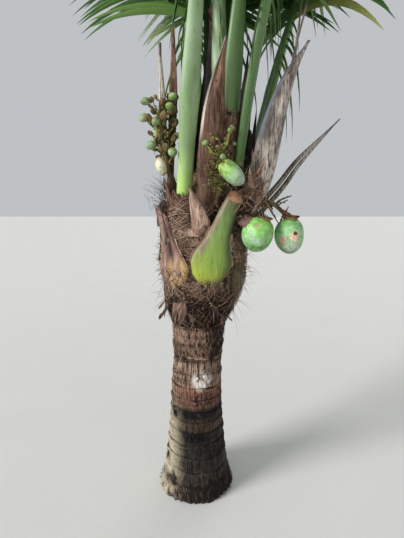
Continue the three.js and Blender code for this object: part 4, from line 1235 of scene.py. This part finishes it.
def build_leaflets(shape, spec, start, end, rng, basal_count):
    """Folded leaflets on both sides of the midrib between two places along the frond, in plain greens by leaflet."""
    _, at, along, x, y = frond_line(spec, FROND["leaf_places"] + 1)
    basal = FROND["petiole"] - np.linspace(0.06, 0.005, basal_count)
    places = np.concatenate([basal, np.linspace(FROND["petiole"], 0.995, LEAFLET["count"])])
    steps = np.linspace(0, 1, 11)
    blade = np.sin(np.pi * np.minimum(1, 0.06 + 0.94 * steps) ** 0.62) ** 0.75
    blade[-1] = 0.02
    size = LEAFLET["length"] * MM * spec["length"] / FRONDS[0]["length"]
    start_width, tip_width = LEAFLET["width"]
    for place in places[(places >= start) & (places < end)]:
        share = max(0, (place - FROND["petiole"]) / (1 - FROND["petiole"]))
        young = place < FROND["petiole"]
        rib = mix(FROND["blade_start"][0], FROND["tip"][0], share) * MM
        k = int(place * FROND["leaf_places"])
        for hand in (-1, 1):
            length = size * math.sin(math.pi * mix(0.18, 0.9, share)) ** 0.8
            length *= rng.uniform(0.2, 0.8) if young else rng.uniform(0.86, 1.0)
            tilt = math.radians(mix(*LEAFLET["tilt"], share) + rng.normal(0, 16 if young else 4))
            droop = LEAFLET["young_droop"] if young else spec["droop"] * rng.uniform(0.75, 1.3)
            root = at[k] + x[k] * hand * rib * 0.36 - y[k] * rib * 0.12
            way = x[k] * hand * math.sin(tilt) + along[k] * math.cos(tilt)
            run = np.sin(np.pi / 2 * steps) * 0.36 if young else steps
            path = root + way * (length * run)[:, None]
            path[:, 2] -= length * droop * steps ** (1.4 if young else 2)
            ahead = unit(np.gradient(path, axis=0))
            across, upper = side_axes(ahead, unit(np.cross(way, along[k])) * hand + rng.normal(0, 0.12, 3))
            broad = mix(LEAFLET["young_width"] if young else start_width, tip_width, share)
            width = (broad * rng.uniform(0.85, 1.1) * blade / 2)[:, None]
            fold = upper * LEAFLET["fold"] * width
            rows = np.stack([path - across * width - fold, path, path + across * width - fold], axis=1)
            shape.grid(rows, False, int(rng.choice(4, p=LEAFLET["shares"])))


def build_fronds(stalk_skins, greens):
    for number, spec in enumerate(FRONDS, 1):
        name = f"frond_{number:02d}"
        rng = np.random.default_rng(SEED + 100 + number)
        stalk, leaves, outer = Shape(), Shape(), Shape()
        build_stalk(stalk, spec)
        parted = spec["lean"] + spec["arch"] > FROND["split_from"]
        bend = math.sqrt((FROND["split_lean"] - spec["lean"]) / spec["arch"]) if parted else 1.0
        nodes = [name, f"{name}_tip"] if parted else [name]
        piece(f"{name}_stalk", stalk, [stalk_skins[number in PALE_STALKS]], "frond", *nodes)
        build_leaflets(leaves, spec, 0, bend, rng, 0 if number in BARE_STALKS else LEAFLET["young"])
        piece(f"{name}_leaflets", leaves, greens, "frond")
        if parted:
            build_leaflets(outer, spec, bend, 1, rng, 0)
            piece(f"{name}_tip_leaflets", outer, greens, "frond")


def build_spear():
    """The unopened leaf: a slim pleated spike."""
    way = around(SPEAR["heading"], math.sin(math.radians(SPEAR["lean"])))
    way[2] = math.cos(math.radians(SPEAR["lean"]))
    t = np.linspace(0, 1, SPEAR["rows"])
    at = np.array(SPEAR["foot"]) * MM + way * (t * SPEAR["length"] * MM)[:, None]
    x, y = side_axes(np.repeat(way[None], len(t), axis=0), np.array([0.0, -1.0, 0.0]))
    width = SPEAR["width"] * on_line([(0, 1.1), (0.25, 1), (0.7, 0.7), (1, 0.14)], t) * MM
    rows = ring_points(at, x, y, width, width, SPEAR["sides"])
    pleats = 1 + 0.07 * np.cos(10 * circle(SPEAR["sides"]))
    shape = Shape()
    shape.solid(at[:, None] + (rows - at[:, None]) * pleats[None, :, None], along=t[:, None])
    f = Finish("young_leaf", 0.45, 0.45)
    f.relief(f.noise(60, (1, 1, 0.1)), 0.002)
    skin = f.ramp(f.mark("along"), [(0.0, (206, 208, 150)), (0.3, (172, 196, 108)), (1.0, (138, 172, 84))])
    piece("spear_leaf_pleats", shape, [f.paint(skin)], "young_leaf", "spear_leaf")


# Stage


def build_stage():
    floor = new_object("floor", bpy.data.meshes.new("floor"))
    corners = [(x * FLOOR_REACH, y * FLOOR_REACH, 0) for x, y in ((-1, -1), (1, -1), (1, 1), (-1, 1))]
    floor.data.from_pydata(corners, [], [(0, 1, 2, 3)])
    f = Finish("floor", 0.9, 0.2)
    f.relief(f.noise(30), 0.001)
    floor.data.materials.append(f.paint(f.blend(f.noise(2), (206, 205, 201), (212, 211, 207))))

    world = bpy.data.worlds.new("soft_room")
    bpy.context.scene.world = world
    world.use_nodes = True
    back = world.node_tree.nodes["Background"]
    back.inputs["Color"].default_value = srgb(232, 236, 240)
    back.inputs["Strength"].default_value = 0.64

    for name, (way, spread, strength) in LAMPS.items():
        lamp = new_object(name, bpy.data.lights.new(name, "SUN"))
        lamp.data.angle = math.radians(spread)
        lamp.data.energy = strength
        lamp.rotation_euler = (math.atan2(math.hypot(way[0], way[1]), -way[2]), 0, math.atan2(-way[0], way[1]))

    camera = new_object("camera", bpy.data.cameras.new("camera"))
    camera.data.lens = CAMERA["lens"]
    camera.location = CAMERA["at"]
    camera.rotation_euler = (math.radians(90 - CAMERA["down"]), 0, 0)
    bpy.context.scene.camera = camera
    bpy.context.scene.view_settings.view_transform = "Standard"


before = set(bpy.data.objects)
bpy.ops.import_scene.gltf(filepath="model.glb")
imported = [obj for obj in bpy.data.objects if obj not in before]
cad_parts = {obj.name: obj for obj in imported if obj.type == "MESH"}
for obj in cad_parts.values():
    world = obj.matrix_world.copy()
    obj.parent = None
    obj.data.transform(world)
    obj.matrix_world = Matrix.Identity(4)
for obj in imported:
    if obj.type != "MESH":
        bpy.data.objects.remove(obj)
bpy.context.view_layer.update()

browns = [
    plain("fibre_dark", (37, 25, 21), 0.9),
    plain("fibre_brown", (122, 98, 82), 0.9),
    plain("fibre_straw", (176, 147, 123), 0.85),
]
green_twig = plain("twig_green", (140, 150, 78), 0.6)
fibre = matted_fibre()
build_trunk()
build_heart(fibre)
build_fibres(browns)
build_wraps(fibre, [
    *browns, green_twig, plain("floret", (140, 144, 80), 0.6), plain("twig_pale", (202, 178, 156), 0.8),
])

green = green_base()
mauve = dead_base("dead_base_mauve", (162, 132, 120), (204, 170, 92), (96, 72, 64))
olive = dead_base("dead_base_olive", (90, 80, 54), (124, 110, 66), (50, 42, 32))
face = cut_face()
base_skins = {"dead_base_left": mauve, "dead_base_right": olive, "dead_base_back": mauve}
for base in BASES:
    build_base(base, base_skins.get(base["name"], green), face, browns)

bract_skins = {
    "red": bract_skin("bract_red", (160, 126, 104), (118, 86, 68), (54, 37, 32), (232, 214, 200)),
    "grey": bract_skin("bract_grey", (212, 200, 188), (164, 150, 140), (44, 35, 33), (98, 103, 112), 0.5),
    "pale": bract_skin("bract_pale", (172, 164, 152), (122, 110, 98), (62, 54, 47), (140, 130, 118)),
    "brown": bract_skin("scrap_brown", (130, 103, 90), (94, 72, 62), (46, 34, 30), (128, 98, 78)),
    "dark": bract_skin("sheath_dark_and_gap_shade", (60, 50, 46), (40, 32, 31), (20, 17, 19), (32, 29, 30)),
    "pink": bract_skin("bract_pink", (200, 172, 152), (164, 132, 114), (106, 78, 66), (208, 182, 162)),
}
for bract in BRACTS:
    build_bract(bract, bract_skins[bract["finish"]])
build_scraps([bract_skins[kind] for kind in SCRAP_SKINS])

finishes = {
    "stalk": dead_base("bunch_stalk", (118, 102, 66), (110, 88, 58), (62, 46, 34)),
    "green_twig": green_twig,
    "brown_twig": plain("twig_brown", (98, 70, 48), 0.8),
    "calyx": dead_base("calyx", (134, 114, 76), (122, 92, 62), (70, 50, 38)),
    "young": husk("husk_young", (140, 156, 78), (120, 150, 72), (112, 134, 70), 0.25),
    "tan": husk("husk_tan", (196, 176, 148), (218, 216, 188), (196, 188, 156), 0.5),
    # The bloom nut's bright crown is partly a painted highlight.
    "bloom": husk("husk_bloom", (214, 244, 118), (150, 202, 116), (146, 174, 146), 0.6),
    "bright": husk("husk_bright", (134, 188, 90), (122, 184, 94), (100, 156, 86), 0.4, BRIGHT_SCABS),
    "scabbed": husk("husk_scabbed", (104, 172, 78), (156, 200, 150), (122, 156, 106), 0.65, SCABBED_SCABS),
}
for bunch in BUNCHES:
    build_bunch(bunch, finishes)

greens = [
    plain("leaflet_green", (78, 114, 54), 0.45, 0.45),
    plain("leaflet_deep", (58, 94, 46), 0.42, 0.45),
    plain("leaflet_light", (104, 136, 70), 0.48, 0.45),
    plain("leaflet_yellow", (146, 150, 82), 0.5, 0.4),
]
build_fronds([
    # The deep stalk skin is darker than the pale one partly as painted shade.
    petiole_skin("petiole_deep_shaded", (108, 140, 64), (92, 126, 68), (128, 156, 112), 0.35),
    petiole_skin("petiole_pale", (196, 232, 106), (134, 162, 110), (176, 198, 168), 0.6),
], greens)
build_spear()
build_stage()
